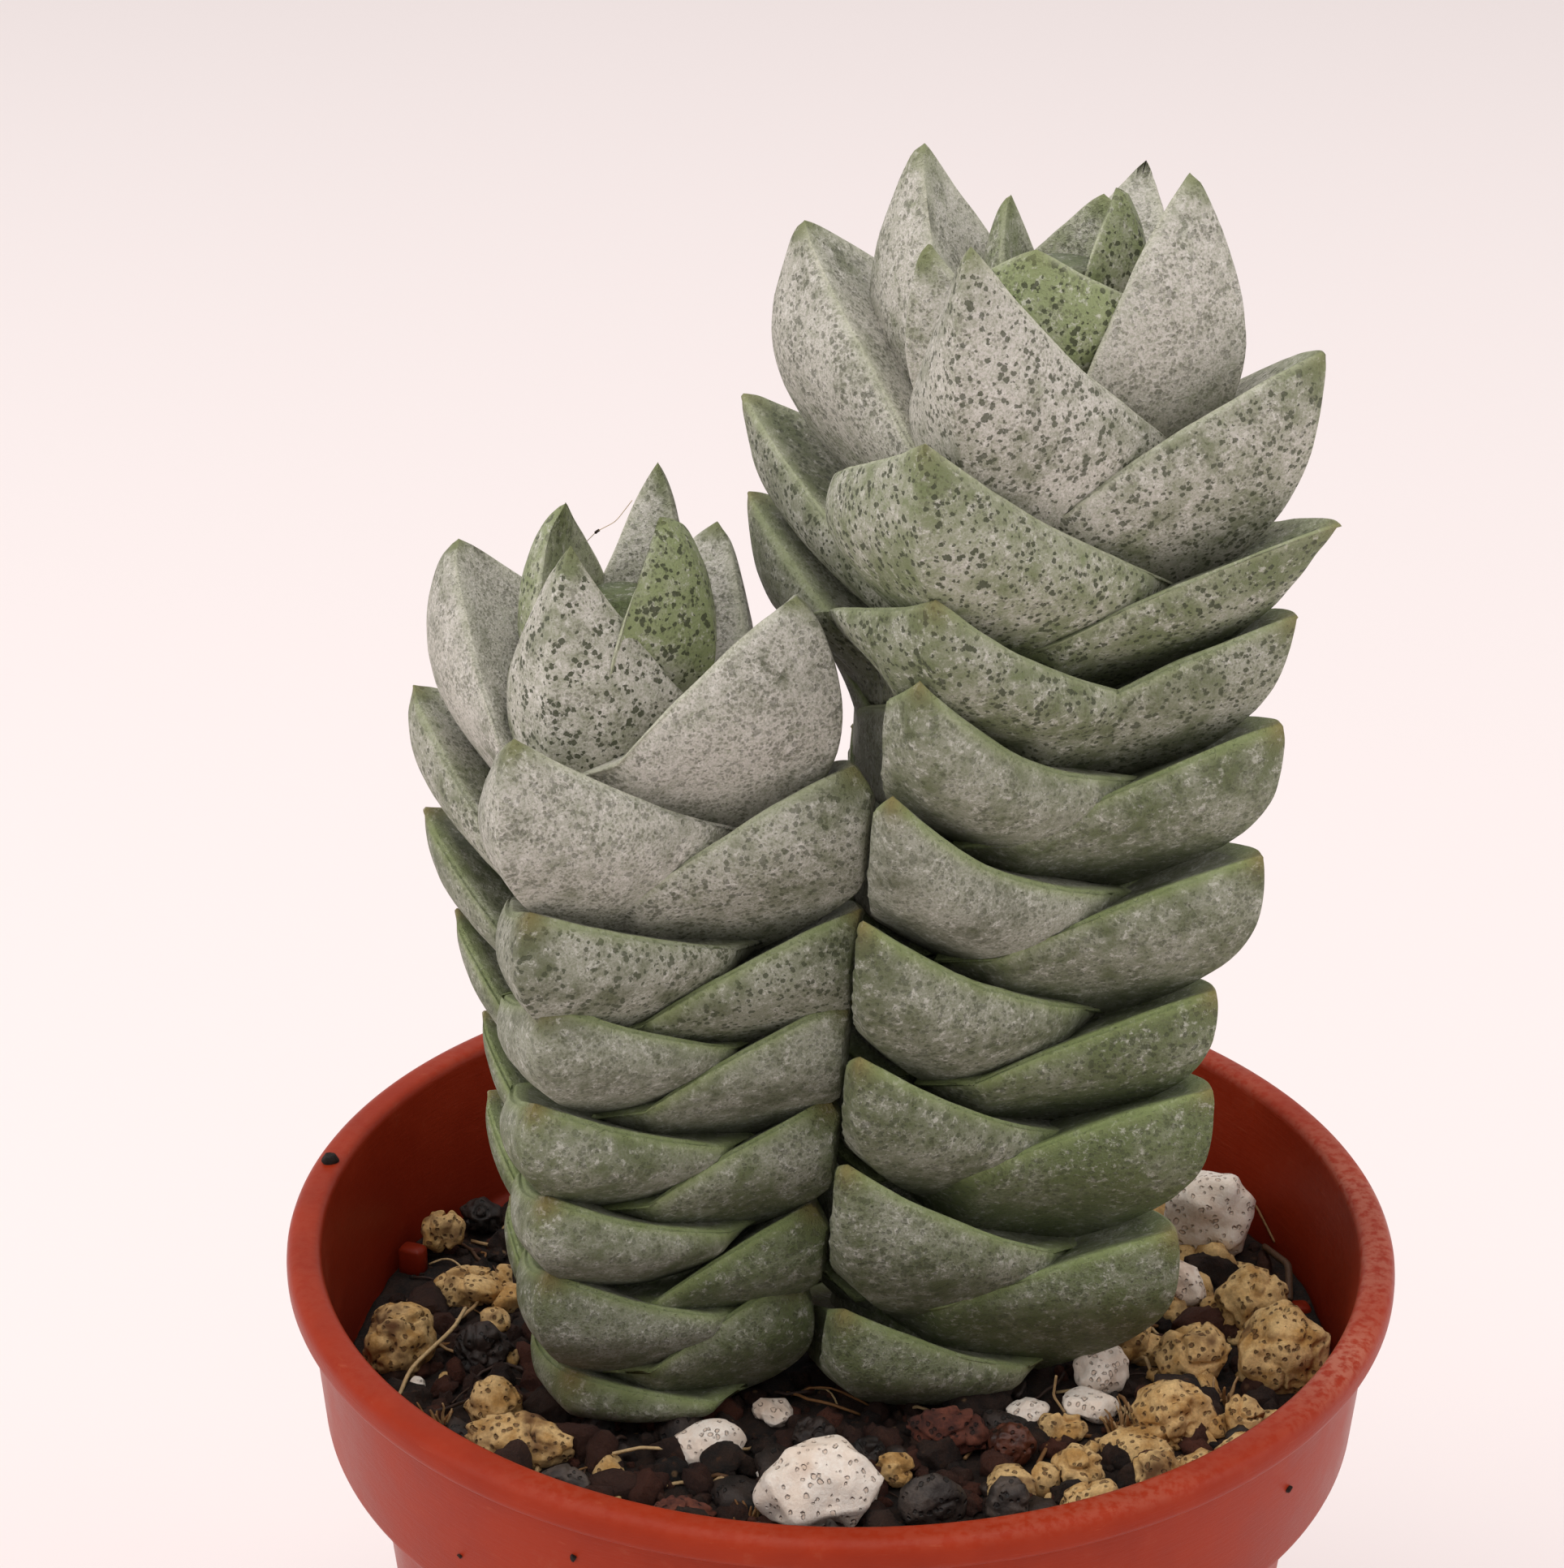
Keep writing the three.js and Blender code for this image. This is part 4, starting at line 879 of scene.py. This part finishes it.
def leaf_shape(stem, row, seed, blunt):
    """One boat-shaped leaf as a closed skin, and the marks that its material reads.

    Its rings run from the middle of the upper face out to the margin, over a rounded rim, and down the
    outer face to one point under the belly.
    """
    rank, height, reach, drop, face, belly, turn, width, aside, boldness, green = row
    share_up = height / stem["length"]
    corner = lerp(*stem["corner"], share_up) * width
    drop = drop * RANK_DROP[rank]
    face = face * RANK_FACE[rank]
    leaf = {
        "rank": rank,
        "reach": reach,
        "drop": drop,
        "face": face,
        "belly": belly,
        "peak": PEAKED.get(height, PEAKS[rank]) if rank == "front" else PEAKS[rank],
        "spread": LEFT_SPREAD.get(height, 0.0) if rank == "front" else 0.0,
        "meeting": corner * MEETING_SHARE,
        "out": corner * math.cos(math.radians(CORNER_ANGLE)),
        "across": corner * math.sin(math.radians(CORNER_ANGLE)),
    }
    line = np.linspace(-1.0, 1.0, LEAF_COLUMNS)
    across = signed_power(line, COLUMN_CROWDING)
    behind = np.linspace(-1.0, 1.0, BASE_COLUMNS + 2)[1:-1]
    down = np.linspace(0.0, 1.0, LEAF_ROWS + 1)[:-1] ** ROW_CROWDING
    outer = outer_face(leaf, across[None], down[:, None])
    base = base_face(leaf, behind[None], down[:, None])
    outer = np.concatenate([outer, base], axis=1)
    rim = outer[0]
    middle_x = UPPER_MIDDLE * reach
    middle_z = -drop * (reach - middle_x) / (reach - leaf["out"])
    middle = np.array([middle_x, 0.0, middle_z])
    inward = middle - rim
    inward /= np.linalg.norm(inward, axis=-1, keepdims=True)
    share_out = np.linspace(0.0, 1.0, UPPER_ROWS + 2)[1:-1]
    upper = middle + (rim - middle) * share_out[:, None, None]
    upper[..., 2] -= HOLLOW * (1 - share_out**2)[:, None]
    upper_edge = rim + inward * RIM_ROUND
    upper_edge[..., 2] -= HOLLOW * EDGE_HOLLOW
    lower_edge = rim + np.array([0.0, 0.0, -RIM_ROUND])
    rounded = (upper_edge + lower_edge) * (1 - RIM_KEPT) / 2 + rim * RIM_KEPT
    rings = np.concatenate([upper, upper_edge[None], rounded[None], lower_edge[None], outer[3:]])
    rings[..., 1] += aside * np.clip((reach - rings[..., 0]) / reach, 0, 1)

    heading = math.radians(lerp(*stem["turn"], share_up) + RANK_TURN[rank] + turn - 90.0)
    tip = np.array([reach, 0.0, 0.0])
    from_tip = np.linalg.norm(rings - tip, axis=-1)
    blunt_by, blunt_over = blunt
    pull = blunt_by * np.exp(-((from_tip / blunt_over) ** 2))
    rings = rings + np.array(TIP_PULL) * pull[..., None]
    to_margin = np.linalg.norm(rings - rim, axis=-1)
    ground = axis_at(stem, height)
    rings = turned(rings, heading) + ground
    first = turned(middle - np.array([0, 0, HOLLOW]), heading) + ground
    last = turned(np.array([0.0, 0.0, -UNDER_DROP * face]), heading) + ground
    swell = SKIN_SWELL * rough(rings, SKIN_SWELL_SIZE, seed)
    swell = swell + SKIN_DIMPLE * rough(rings, SKIN_DIMPLE_SIZE, seed + 1)
    rings = rings + grid_normals(rings) * swell[..., None]
    rings = pressed(rings, stem["side"])
    shape = skin(rings, pressed(first, stem["side"]), pressed(last, stem["side"]))

    rows = len(rings)
    upper_count = UPPER_ROWS + 1
    is_inner = np.zeros(rows)
    is_inner[:upper_count] = 1.0
    ridge = np.concatenate([np.exp(-((across / KEEL_REACH) ** 2)), np.zeros(BASE_COLUMNS)])
    below = np.concatenate([np.zeros(rows - LEAF_ROWS + 3), down[3:]])[:, None]
    marks = {
        "near_tip": np.exp(-((from_tip / TIP_REACH) ** 2)),
        "near_margin": np.exp(-((to_margin / MARGIN_REACH) ** 2)),
        "near_keel": ridge[None] * (1 - is_inner[:, None]) * np.exp(-below * KEEL_FADE),
        "inner_face": is_inner[:, None],
        # Painted shade on the lower part of each outer face, rising towards the base
        "towards_base": ease((below - UNDER_SHADE_FROM) / UNDER_SHADE_OVER),
        # Darker lower down the stem: partly older skin, partly painted shade
        "age": ease((OLD_AND_SHADED_FROM - share_up) / OLD_AND_SHADED_OVER),
        "dot_boldness": boldness,
        "greenness": green,
    }
    for name, values in marks.items():
        values = np.broadcast_to(values, from_tip.shape)
        marks[name] = np.append(values.ravel(), [values[0, 0], values[-1, 0]])
    return outward(*shape), marks


def make_leaves(name, stem, rows, seed, blunt, material, node):
    """A few leaves that follow each other down the stem, as one piece."""
    made = [leaf_shape(stem, row, seed + 7 * k, blunt) for k, row in enumerate(rows)]
    marks = {key: np.concatenate([m[key] for _, m in made]) for key in made[0][1]}
    make_piece(name, join([shape for shape, _ in made]), material, node, marks)


def make_core(name, stem, material, node):
    """The stem inside the leaves: circles carried up the axis, narrowing from foot to top."""
    height = np.linspace(CORE_FOOT, stem["length"], CORE_ROWS)
    radius = lerp(*stem["core"], np.clip(height / stem["length"], 0, 1))
    ring = xyz(*polar(1.0, around(CORE_SIDES)), 0.0)
    rings = axis_at(stem, height)[:, None] + radius[:, None, None] * ring
    shape = outward(*skin(rings, rings[0].mean(axis=0), rings[-1].mean(axis=0)))
    make_piece(name, shape, material, node, {"age": 1.0, "greenness": 0.8})


def make_stem(word, stem, leaves, material):
    """A core, and the leaves from the top down, two to a piece."""
    node = word + "_stem"
    make_core(word + "_core", stem, material, node)
    for start in range(0, len(leaves), 2):
        rows = leaves[start : start + 2]
        name = f"{word}_pair_{start // 2 + 1:02d}"
        make_leaves(name, stem, rows, 100 + 20 * start, TIP_BLUNT[word], material, node)


# The stones


def ball_directions(count):
    """Directions all round a ball: six square grids, each warped by a tangent and brought to unit length."""
    line = np.tan(np.linspace(-np.pi / 4, np.pi / 4, count + 1))
    u, v = np.meshgrid(line, line, indexing="ij")
    one = np.ones_like(u)
    sides = [(one, u, v), (-one, v, u), (v, one, u), (u, -one, v), (u, v, one), (v, u, -one)]
    grids = np.stack([np.stack(side, axis=-1) for side in sides]).reshape(-1, 3)
    grids /= np.linalg.norm(grids, axis=1, keepdims=True)
    points, which = np.unique(np.round(grids, 6), axis=0, return_inverse=True)
    which = which.reshape(6, count + 1, count + 1)
    a, b = which[:, :-1, :-1], which[:, 1:, :-1]
    c, d = which[:, 1:, 1:], which[:, :-1, 1:]
    quads = np.stack([a, b, c, d], axis=-1).reshape(-1, 4)
    return points, quads


def facet_radius(directions, corners, centre):
    """How far out the surface lies along each direction: the farthest facet that the ray meets."""
    a = corners[:, 0] - centre
    edge_1 = corners[:, 1] - corners[:, 0]
    edge_2 = corners[:, 2] - corners[:, 0]
    cross = np.cross(directions[:, None], edge_2[None])
    det = np.einsum("nfi,fi->nf", cross, edge_1)
    safe = np.where(np.abs(det) < 1e-12, 1e-12, det)
    u = -np.einsum("nfi,fi->nf", cross, a) / safe
    q = np.cross(-a, edge_1)
    v = np.einsum("ni,fi->nf", directions, q) / safe
    t = np.einsum("fi,fi->f", edge_2, q)[None] / safe
    hit = (u > -1e-4) & (v > -1e-4) & (u + v < 1.0002) & (t > 0)
    return np.where(hit, t, -1.0).max(axis=1)


def node_corners(node):
    """The corners of a CAD node's facets, in millimetres."""
    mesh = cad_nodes[node].data
    points = np.empty(len(mesh.vertices) * 3)
    mesh.vertices.foreach_get("co", points)
    mesh.calc_loop_triangles()
    faces = np.empty(len(mesh.loop_triangles) * 3, np.int32)
    mesh.loop_triangles.foreach_get("vertices", faces)
    return points.reshape(-1, 3)[faces.reshape(-1, 3)] / MM


def make_stone(node, seed, materials):
    """A rough stone: the solid's own radius in every direction, softened a little, with lumps and pits."""
    kind = STONE_KINDS[node[:-3]]
    corners = node_corners(node)
    low, high = (np.array(v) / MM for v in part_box(node))
    centre = (low + high) / 2
    directions, quads = ball_directions(STONE_GRID)
    radius = facet_radius(directions, corners, centre)
    radius = np.where(radius <= 0, np.median(radius[radius > 0]), radius)
    lump_size, lump = kind["lump"]
    pit_size, pit = kind["pit"]
    at = centre + directions * radius[:, None]
    relief = lump * (rough(at, lump_size, seed) + 0.6 * rough(at, lump_size * 0.45, seed + 3))
    relief = relief - pit * ease((rough(at, pit_size, seed + 5) - 0.2) / 0.5)
    near_crease = 1 - np.abs(rough(at, lump_size * 0.9, seed + 9)) / CREASE_WIDTH
    relief = relief - kind["crease"] * ease(near_crease)
    points = centre + directions * (radius + relief)[:, None]
    word = "charcoal" if node in CHARCOAL_CHIPS else kind["material"]
    make_piece(node + "_stone", outward(points, quads), materials[word], node)


# The soil and what lies in it


def soil_height(x, y, seed=21):
    """The soil's surface: a plane that rises to the right and front, with lumps of three sizes."""
    place = xyz(x, y, 0.0)
    lumps = SOIL_RELIEF * (0.6 * rough(place, 3.2, seed) + 0.35 * rough(place, 1.1, seed + 1))
    grit = SOIL_RELIEF * 0.25 * rough(place, 0.5, seed + 2)
    return SOIL_LEVEL + SOIL_RISE_RIGHT * x - SOIL_RISE_FRONT * y + lumps + grit


def wall_radius(height):
    """The outer radius of the pot's wall: a sloping body, a step, and a sloping collar."""
    collar_foot = POT_HEIGHT - COLLAR_HEIGHT
    body_top = COLLAR_FOOT_RADIUS - STEP_INWARD
    heights = [0.0, collar_foot - STEP_HEIGHT, collar_foot, POT_HEIGHT]
    radii = [BASE_RADIUS, body_top, COLLAR_FOOT_RADIUS, RIM_RADIUS - RIM_OVERHANG]
    return np.interp(height, heights, radii)


def make_soil(materials):
    """The soil: rings of the lumpy surface from the middle to the wall, then down the wall to the floor."""
    inside = wall_radius(SOIL_LEVEL) - WALL - 0.15
    radius = np.linspace(SOIL_MIDDLE, inside, SOIL_ROWS)
    angle = around(SOIL_COLUMNS)
    x, y = polar(radius[:, None], angle)
    top = xyz(x, y, soil_height(x, y))
    sides = []
    for height in SOIL_SIDES:
        edge = wall_radius(height) - WALL - 0.3
        sides.append(xyz(*polar(edge, angle), height))
    rings = np.concatenate([top, np.stack(sides)])
    shape = outward(*skin(rings, xyz(0.0, 0.0, soil_height(0.0, 0.0)), xyz(0.0, 0.0, SOIL_SIDES[-1])))
    make_piece("soil_bed", shape, materials["soil"], "soil", {"tone": 0.0})


def scatter(random, count, reach):
    """Random places on the soil, evenly spread over the disc."""
    radius = reach * np.sqrt(random.random(count))
    angle = 2 * np.pi * random.random(count)
    return polar(radius, angle)


def lay_lumps(name, local, quads, places, tones, material):
    """Many lumps as one piece: each one's points moved to its place, and the same faces counted on."""
    count, size = local.shape[:2]
    _, first, none = outward(local[0], quads)
    points = (local + places[:, None]).reshape(-1, 3)
    faces = (first[None] + (np.arange(count) * size)[:, None, None]).reshape(-1, 4)
    make_piece(name, (points, faces, none), material, "soil", {"tone": np.repeat(tones, size)})


def make_crumbs(materials):
    """Loose crumbs: one small lumpy ball repeated, each stretched, turned and laid on the soil."""
    random = np.random.default_rng(8)
    x, y = scatter(random, CRUMB_COUNT, wall_radius(SOIL_LEVEL) - WALL - 0.9)
    size = lerp(*CRUMB_SIZE, random.random(CRUMB_COUNT) ** 2.6)
    directions, quads = ball_directions(CRUMB_GRID)
    stretch = 0.6 + 0.6 * random.random((CRUMB_COUNT, 1, 3))
    lumps = 0.75 + 0.5 * random.random((CRUMB_COUNT, len(directions), 1))
    local = directions[None] * stretch * lumps * size[:, None, None]
    local = turned(local, 2 * np.pi * random.random(CRUMB_COUNT)[:, None])
    places = xyz(x, y, soil_height(x, y) + 0.2 * size)
    tones = random.random(CRUMB_COUNT) ** 2
    lay_lumps("soil_crumbs", local, quads, places, tones, materials["soil"])


def chunk_radius(random, directions, count):
    """Angular lumps: in each direction, the nearest of several random planes that cut a ball back."""
    normals = random.standard_normal((count, CHUNK_PLANES, 3))
    normals /= np.linalg.norm(normals, axis=-1, keepdims=True)
    offsets = 0.55 + 0.4 * random.random((count, 1, CHUNK_PLANES))
    facing = np.einsum("di,npi->ndp", directions, normals)
    return np.minimum((offsets / np.maximum(facing, 0.05)).min(axis=-1), 1.1)


def make_chunks(name, material, seed, places, sizes, tones):
    """Angular bits: each lump stretched, roughened, turned about Z and set at its place."""
    random = np.random.default_rng(seed)
    count = len(sizes)
    directions, quads = ball_directions(CHUNK_GRID)
    radius = chunk_radius(random, directions, count)
    stretch = 0.65 + 0.6 * random.random((count, 1, 3)) * np.array([1.0, 1.0, 0.7])
    local = directions[None] * radius[..., None] * stretch * sizes[:, None, None]
    local = local * (1 + 0.16 * rough(local + places[:, None], 0.45, seed)[..., None])
    local = turned(local, 2 * np.pi * random.random(count)[:, None])
    lay_lumps(name, local, quads, places, tones, material)


def make_loose_bits(materials):
    """Bits of each kind, spread evenly over a part of a ring on the soil."""
    random = np.random.default_rng(64)
    for number, (name, slot, count, size, turn, reach) in enumerate(LOOSE_BITS):
        sizes = size[0] + size[1] * random.random(count) ** 2
        angle = np.radians(lerp(*turn, random.random(count)))
        inner, outer = np.square(reach)
        x, y = polar(np.sqrt(lerp(inner, outer, random.random(count))), angle)
        places = xyz(x, y, soil_height(x, y) + 0.25 * sizes)
        make_chunks(name, materials[slot], 700 + number, places, sizes, random.random(count) ** 2)


def make_specks(materials):
    """Specks of soil that stick to the pot's lip and collar."""
    turns, heights, sizes, tones = np.array(SPECKS).T
    out = np.append(LIP_MIDDLE, wall_radius(heights[1:]) + 0.02)
    places = xyz(*polar(out, np.radians(turns)), heights)
    make_chunks("pot_specks", materials["soil"], 90, places, sizes, tones)


def make_strands(name, paths, radii, tones, materials, node="soil"):
    """Thin strands as one piece."""
    shapes = [outward(*tube(path, radius)) for path, radius in zip(paths, radii)]
    marks = {"tone": np.concatenate([np.full(len(shape[0]), tone) for shape, tone in zip(shapes, tones)])}
    make_piece(name, join(shapes), materials["fibre"], node, marks)


def make_fibres(materials):
    """Short curved fibres that lie on the soil: a random heading, a sideways bend and a low arch."""
    random = np.random.default_rng(31)
    x, y = scatter(random, FIBRE_COUNT, wall_radius(SOIL_LEVEL) - WALL - 2.5)
    paths, radii, tones = [], [], []
    along = np.linspace(-0.5, 0.5, 9)
    for k in range(FIBRE_COUNT):
        length = 1.2 + 4.5 * random.random() ** 2
        heading = 2 * np.pi * random.random()
        bend = 0.6 * (random.random() - 0.5) * length
        forward = along * length
        sideways = bend * (along * 2) ** 2
        path = turned(xyz(forward, sideways, 0.0), heading) + xyz(x[k], y[k], 0.0)
        lift = 0.12 + 0.5 * random.random() * (1 - (along * 2) ** 2)
        far = np.hypot(path[:, 0], path[:, 1]) / (wall_radius(SOIL_LEVEL) - WALL - 0.5)
        px, py = path[:, 0] / np.maximum(far, 1), path[:, 1] / np.maximum(far, 1)
        paths.append(xyz(px, py, soil_height(px, py) + lift))
        radii.append(0.04 + 0.08 * random.random())
        tones.append(random.random() ** 1.5)
    make_strands("soil_fibres", paths, radii, tones, materials)


def smooth_path(points, count=24):
    """A smooth path through a few points, eased from one to the next."""
    points = np.asarray(points, float)
    at = np.linspace(0, len(points) - 1, count)
    coarse = np.stack([np.interp(at, np.arange(len(points)), points[:, k]) for k in range(3)], axis=-1)
    kernel = np.array([1, 2, 3, 2, 1]) / 9.0
    padded = np.concatenate([coarse[:1]] * 2 + [coarse] + [coarse[-1:]] * 2)
    return np.stack([np.convolve(padded[:, k], kernel, mode="valid") for k in range(3)], axis=-1)


def make_roots(materials):
    """Pale roots and straws that lie over the soil and the stones."""
    radii, tones, paths = zip(*ROOTS)
    make_strands("loose_roots", [smooth_path(path) for path in paths], radii, tones, materials)


def make_web(materials):
    """A strand of spider's web that hangs from a leaf tip of the short stem, with a speck caught in it."""
    paths = [smooth_path(WEB_PATH), np.array(WEB_SPECK)]
    make_strands("web_strand", paths, [0.018, 0.07], [1.0, 0.0], materials, "short_stem")


def make_bundles(materials):
    """Small bundles of golden bark fibre: strands that fan out from one place."""
    random = np.random.default_rng(5)
    paths, radii, tones = [], [], []
    for x, y, reach, count in BUNDLES:
        for _ in range(count):
            foot = np.array([x, y, 0.0]) + 0.7 * (random.random(3) - 0.5)
            lean = np.append(0.9 * (random.random(2) - 0.5), 0.5 + 0.5 * random.random()) * reach
            foot[2] = soil_height(foot[0], foot[1]) - 0.2
            share = np.linspace(0, 1, 7)[:, None]
            paths.append(foot + lean * share + 0.15 * (random.random((7, 3)) - 0.5) * share)
            radii.append(np.linspace(0.17, 0.05, 7) * (0.6 + 0.7 * random.random()))
            tones.append(0.35 + 0.4 * random.random())
    make_strands("bark_bundles", paths, radii, tones, materials)


# The pot


def rounded_profile(points, radii):
    """A profile with rounded corners: each becomes a quadratic curve between points on its two edges."""
    points = np.asarray(points, float)
    previous, following = np.roll(points, 1, axis=0), np.roll(points, -1, axis=0)
    made = []
    for here, before, after, reach in zip(points, previous, following, radii):
        if reach <= 0:
            made.append(here[None])
            continue
        start = here + (before - here) * min(reach / np.linalg.norm(before - here), 0.5)
        end = here + (after - here) * min(reach / np.linalg.norm(after - here), 0.5)
        t = np.linspace(0, 1, 7)[:, None]
        made.append(start * (1 - t) ** 2 + 2 * here * t * (1 - t) + end * t * t)
    return np.concatenate(made)


def make_pot_wall(materials):
    """The pot's wall, collar and rim: one closed profile carried round the pot's axis."""
    collar_foot = POT_HEIGHT - COLLAR_HEIGHT
    body_top = collar_foot - STEP_HEIGHT
    under_lip = POT_HEIGHT - RIM_BEAD - 0.1
    corners = [
        ((FLOOR_RING_RADIUS, 0.0), 0.0),
        ((BASE_RADIUS, 0.0), 0.6),
        ((float(wall_radius(body_top)), body_top), 0.4),
        ((COLLAR_FOOT_RADIUS, collar_foot), 0.5),
        ((float(wall_radius(under_lip)), under_lip), 0.25),
        ((RIM_RADIUS, POT_HEIGHT - RIM_BEAD), 0.45),
        ((RIM_RADIUS, POT_HEIGHT), 0.75),
        ((float(wall_radius(POT_HEIGHT)) - WALL, POT_HEIGHT), 0.5),
        ((float(wall_radius(collar_foot)) - WALL, collar_foot), 0.5),
        ((float(wall_radius(body_top)) - WALL, body_top), 0.5),
        ((float(wall_radius(FLOOR)) - WALL, FLOOR), 0.6),
        ((FLOOR_RING_RADIUS, FLOOR), 0.0),
    ]
    profile = rounded_profile([c for c, _ in corners], [r for _, r in corners])
    angle = around(POT_SIDES)
    across, up = profile.T
    points = xyz(*polar(across[:, None], angle), up[:, None]).reshape(-1, 3)
    quads = ring_faces(len(profile) + 1, POT_SIDES) % len(points)
    # Painted shade on the inner side of the wall, fading in below the rim
    inside = np.repeat((np.arange(len(profile)) > np.argmax(across + up * 10)).astype(float), POT_SIDES)
    below_rim = POT_HEIGHT - np.repeat(up, POT_SIDES)
    inside *= np.clip((below_rim - INSIDE_FROM) / INSIDE_OVER, 0, 1)
    crest = np.exp(-((below_rim / CREST_REACH) ** 2))
    turn = np.tile(angle, len(profile))
    patches = 0.5 + 0.5 * rough(points, 4.0, 77)
    facing = np.clip(np.cos(turn - math.radians(WORN_TURN)), 0, 1) ** 2
    worn = crest * patches * (WORN_LEAST + WORN_MORE * facing)
    marks = {"inside": inside, "worn_rim": worn}
    make_piece("pot_wall", outward(points, quads), materials["pot_plastic"], "pot", marks)


def make_pot_floor(materials):
    """The floor: four quarter slabs, each a sheet from the rim of its drain hole to the quarter's outline."""
    shapes = []
    half = np.pi / DRAIN_HOLES
    out = np.linspace(0, FLOOR_RING_RADIUS, FLOOR_EDGE_POINTS, endpoint=False)
    back = np.linspace(FLOOR_RING_RADIUS, 0, FLOOR_EDGE_POINTS, endpoint=False)
    share = np.linspace(0, 1, 5)[:, None, None]
    for middle in 2 * np.pi * (np.arange(DRAIN_HOLES) + 0.5) / DRAIN_HOLES:
        sweep = np.linspace(middle - half, middle + half, FLOOR_EDGE_POINTS, endpoint=False)
        edges = (polar(out, middle - half), polar(FLOOR_RING_RADIUS, sweep), polar(back, middle + half))
        outline = np.concatenate([xyz(*edge, 0.0) for edge in edges])
        centre = xyz(*polar(DRAIN_CIRCLE, middle), 0.0)
        towards = outline - centre
        hole = centre + DRAIN_RADIUS * towards / np.linalg.norm(towards, axis=1, keepdims=True)
        sheet = hole * (1 - share) + outline * share
        points = np.concatenate([sheet, sheet[::-1] + np.array([0.0, 0.0, FLOOR])]).reshape(-1, 3)
        shapes.append(outward(points, ring_faces(2 * len(share) + 1, len(outline)) % len(points)))
    marks = {"inside": 0.0, "worn_rim": 0.0}
    make_piece("pot_floor", join(shapes), materials["pot_plastic"], "pot", marks)


def make_ribs(materials):
    """Straight ribs inside the wall: a rounded square section carried up, one at each turn round the pot."""
    along, across = (signed_power(side, 0.4) / 2 for side in polar(1.0, around(16)))
    foot = POT_HEIGHT - COLLAR_HEIGHT - 0.2
    outer = float(wall_radius(foot)) - WALL / 2
    depth = RIB_DEPTH + WALL
    shapes = []
    heights = np.array([foot, lerp(foot, RIB_TOP, 0.5), RIB_TOP - 0.15, RIB_TOP])
    shrink = np.array([1.0, 1.0, 1.0, 0.8])
    for k in range(RIB_COUNT):
        x = outer - depth / 2 + depth * along * shrink[:, None]
        y = RIB_WIDTH * across * shrink[:, None]
        rings = xyz(x, y, heights[:, None])
        rings = turned(rings, math.radians(RIB_TURN + 360.0 * k / RIB_COUNT))
        shapes.append(outward(*skin(rings, rings[0].mean(axis=0), rings[-1].mean(axis=0))))
    # The ribs take the full painted shade of the inside
    marks = {"inside": 1.0, "worn_rim": 0.0}
    make_piece("pot_ribs", join(shapes), materials["pot_plastic"], "pot", marks)


# The floor, the light and the camera


def make_stage():
    """A plain pale floor."""
    mesh = bpy.data.meshes.new("floor")
    far = FLOOR_REACH
    corners = [(-far, -far, 0), (far, -far, 0), (far, far, 0), (-far, far, 0)]
    mesh.from_pydata(corners, [], [(0, 1, 2, 3)])
    floor = bpy.data.objects.new("floor", mesh)
    bpy.context.scene.collection.objects.link(floor)
    material, tree, shader = new_material("pale_floor")
    feed(tree, shader, {"Base Color": colour(*FLOOR_COLOUR), "Roughness": 0.9, "Specular IOR Level": 0.1})
    mesh.materials.append(material)


def add_softbox(name, place, target, size, power, tone):
    """A square soft light that faces a point."""
    data = bpy.data.lights.new(name, "AREA")
    data.shape = "RECTANGLE"
    data.size, data.size_y = size
    data.energy = power
    data.color = tone
    light = bpy.data.objects.new(name, data)
    light.location = place
    light.rotation_euler = (Vector(target) - Vector(place)).to_track_quat("-Z", "Y").to_euler()
    bpy.context.scene.collection.objects.link(light)


def make_light():
    """A pale room and the soft boxes."""
    world = bpy.data.worlds.new("studio")
    bpy.context.scene.world = world
    world.use_nodes = True
    background = world.node_tree.nodes["Background"]
    background.inputs["Color"].default_value = ROOM_COLOUR
    background.inputs["Strength"].default_value = ROOM_STRENGTH
    for name, place, size, power, tone in SOFTBOXES:
        add_softbox(name, place, LIGHT_TARGET, size, power, tone)


def make_camera():
    """The camera, from the directions to its right, up and ahead."""
    data = bpy.data.cameras.new("camera")
    data.sensor_fit = "AUTO"
    data.sensor_width = CAMERA_SENSOR
    data.lens = CAMERA_LENS
    data.clip_start = 0.01
    camera = bpy.data.objects.new("camera", data)
    bpy.context.scene.collection.objects.link(camera)
    back = -np.array(CAMERA_FORWARD)
    columns = np.stack([CAMERA_RIGHT, CAMERA_UP, back], axis=1)
    camera.matrix_world = Matrix.Translation(CAMERA_PLACE) @ Matrix(columns.tolist()).to_4x4()
    bpy.context.scene.camera = camera


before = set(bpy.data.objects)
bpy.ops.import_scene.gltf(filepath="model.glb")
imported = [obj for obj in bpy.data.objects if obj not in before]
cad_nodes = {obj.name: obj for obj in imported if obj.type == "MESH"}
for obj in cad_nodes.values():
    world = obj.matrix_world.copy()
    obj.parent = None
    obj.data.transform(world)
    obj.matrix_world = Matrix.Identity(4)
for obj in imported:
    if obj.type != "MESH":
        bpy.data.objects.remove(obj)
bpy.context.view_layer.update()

bpy.context.scene.view_settings.view_transform = "Standard"
make_camera()
make_light()
make_stage()
finishes = make_materials()
make_pot_wall(finishes)
make_pot_floor(finishes)
make_ribs(finishes)
make_soil(finishes)
make_crumbs(finishes)
make_loose_bits(finishes)
make_specks(finishes)
make_fibres(finishes)
make_roots(finishes)
make_bundles(finishes)
make_web(finishes)
for number, stone in enumerate(sorted(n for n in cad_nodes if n[:-3] in STONE_KINDS)):
    make_stone(stone, 300 + 11 * number, finishes)
make_stem("tall", TALL_STEM, TALL_LEAVES, finishes["leaf_skin"])
make_stem("short", SHORT_STEM, SHORT_LEAVES, finishes["leaf_skin"])
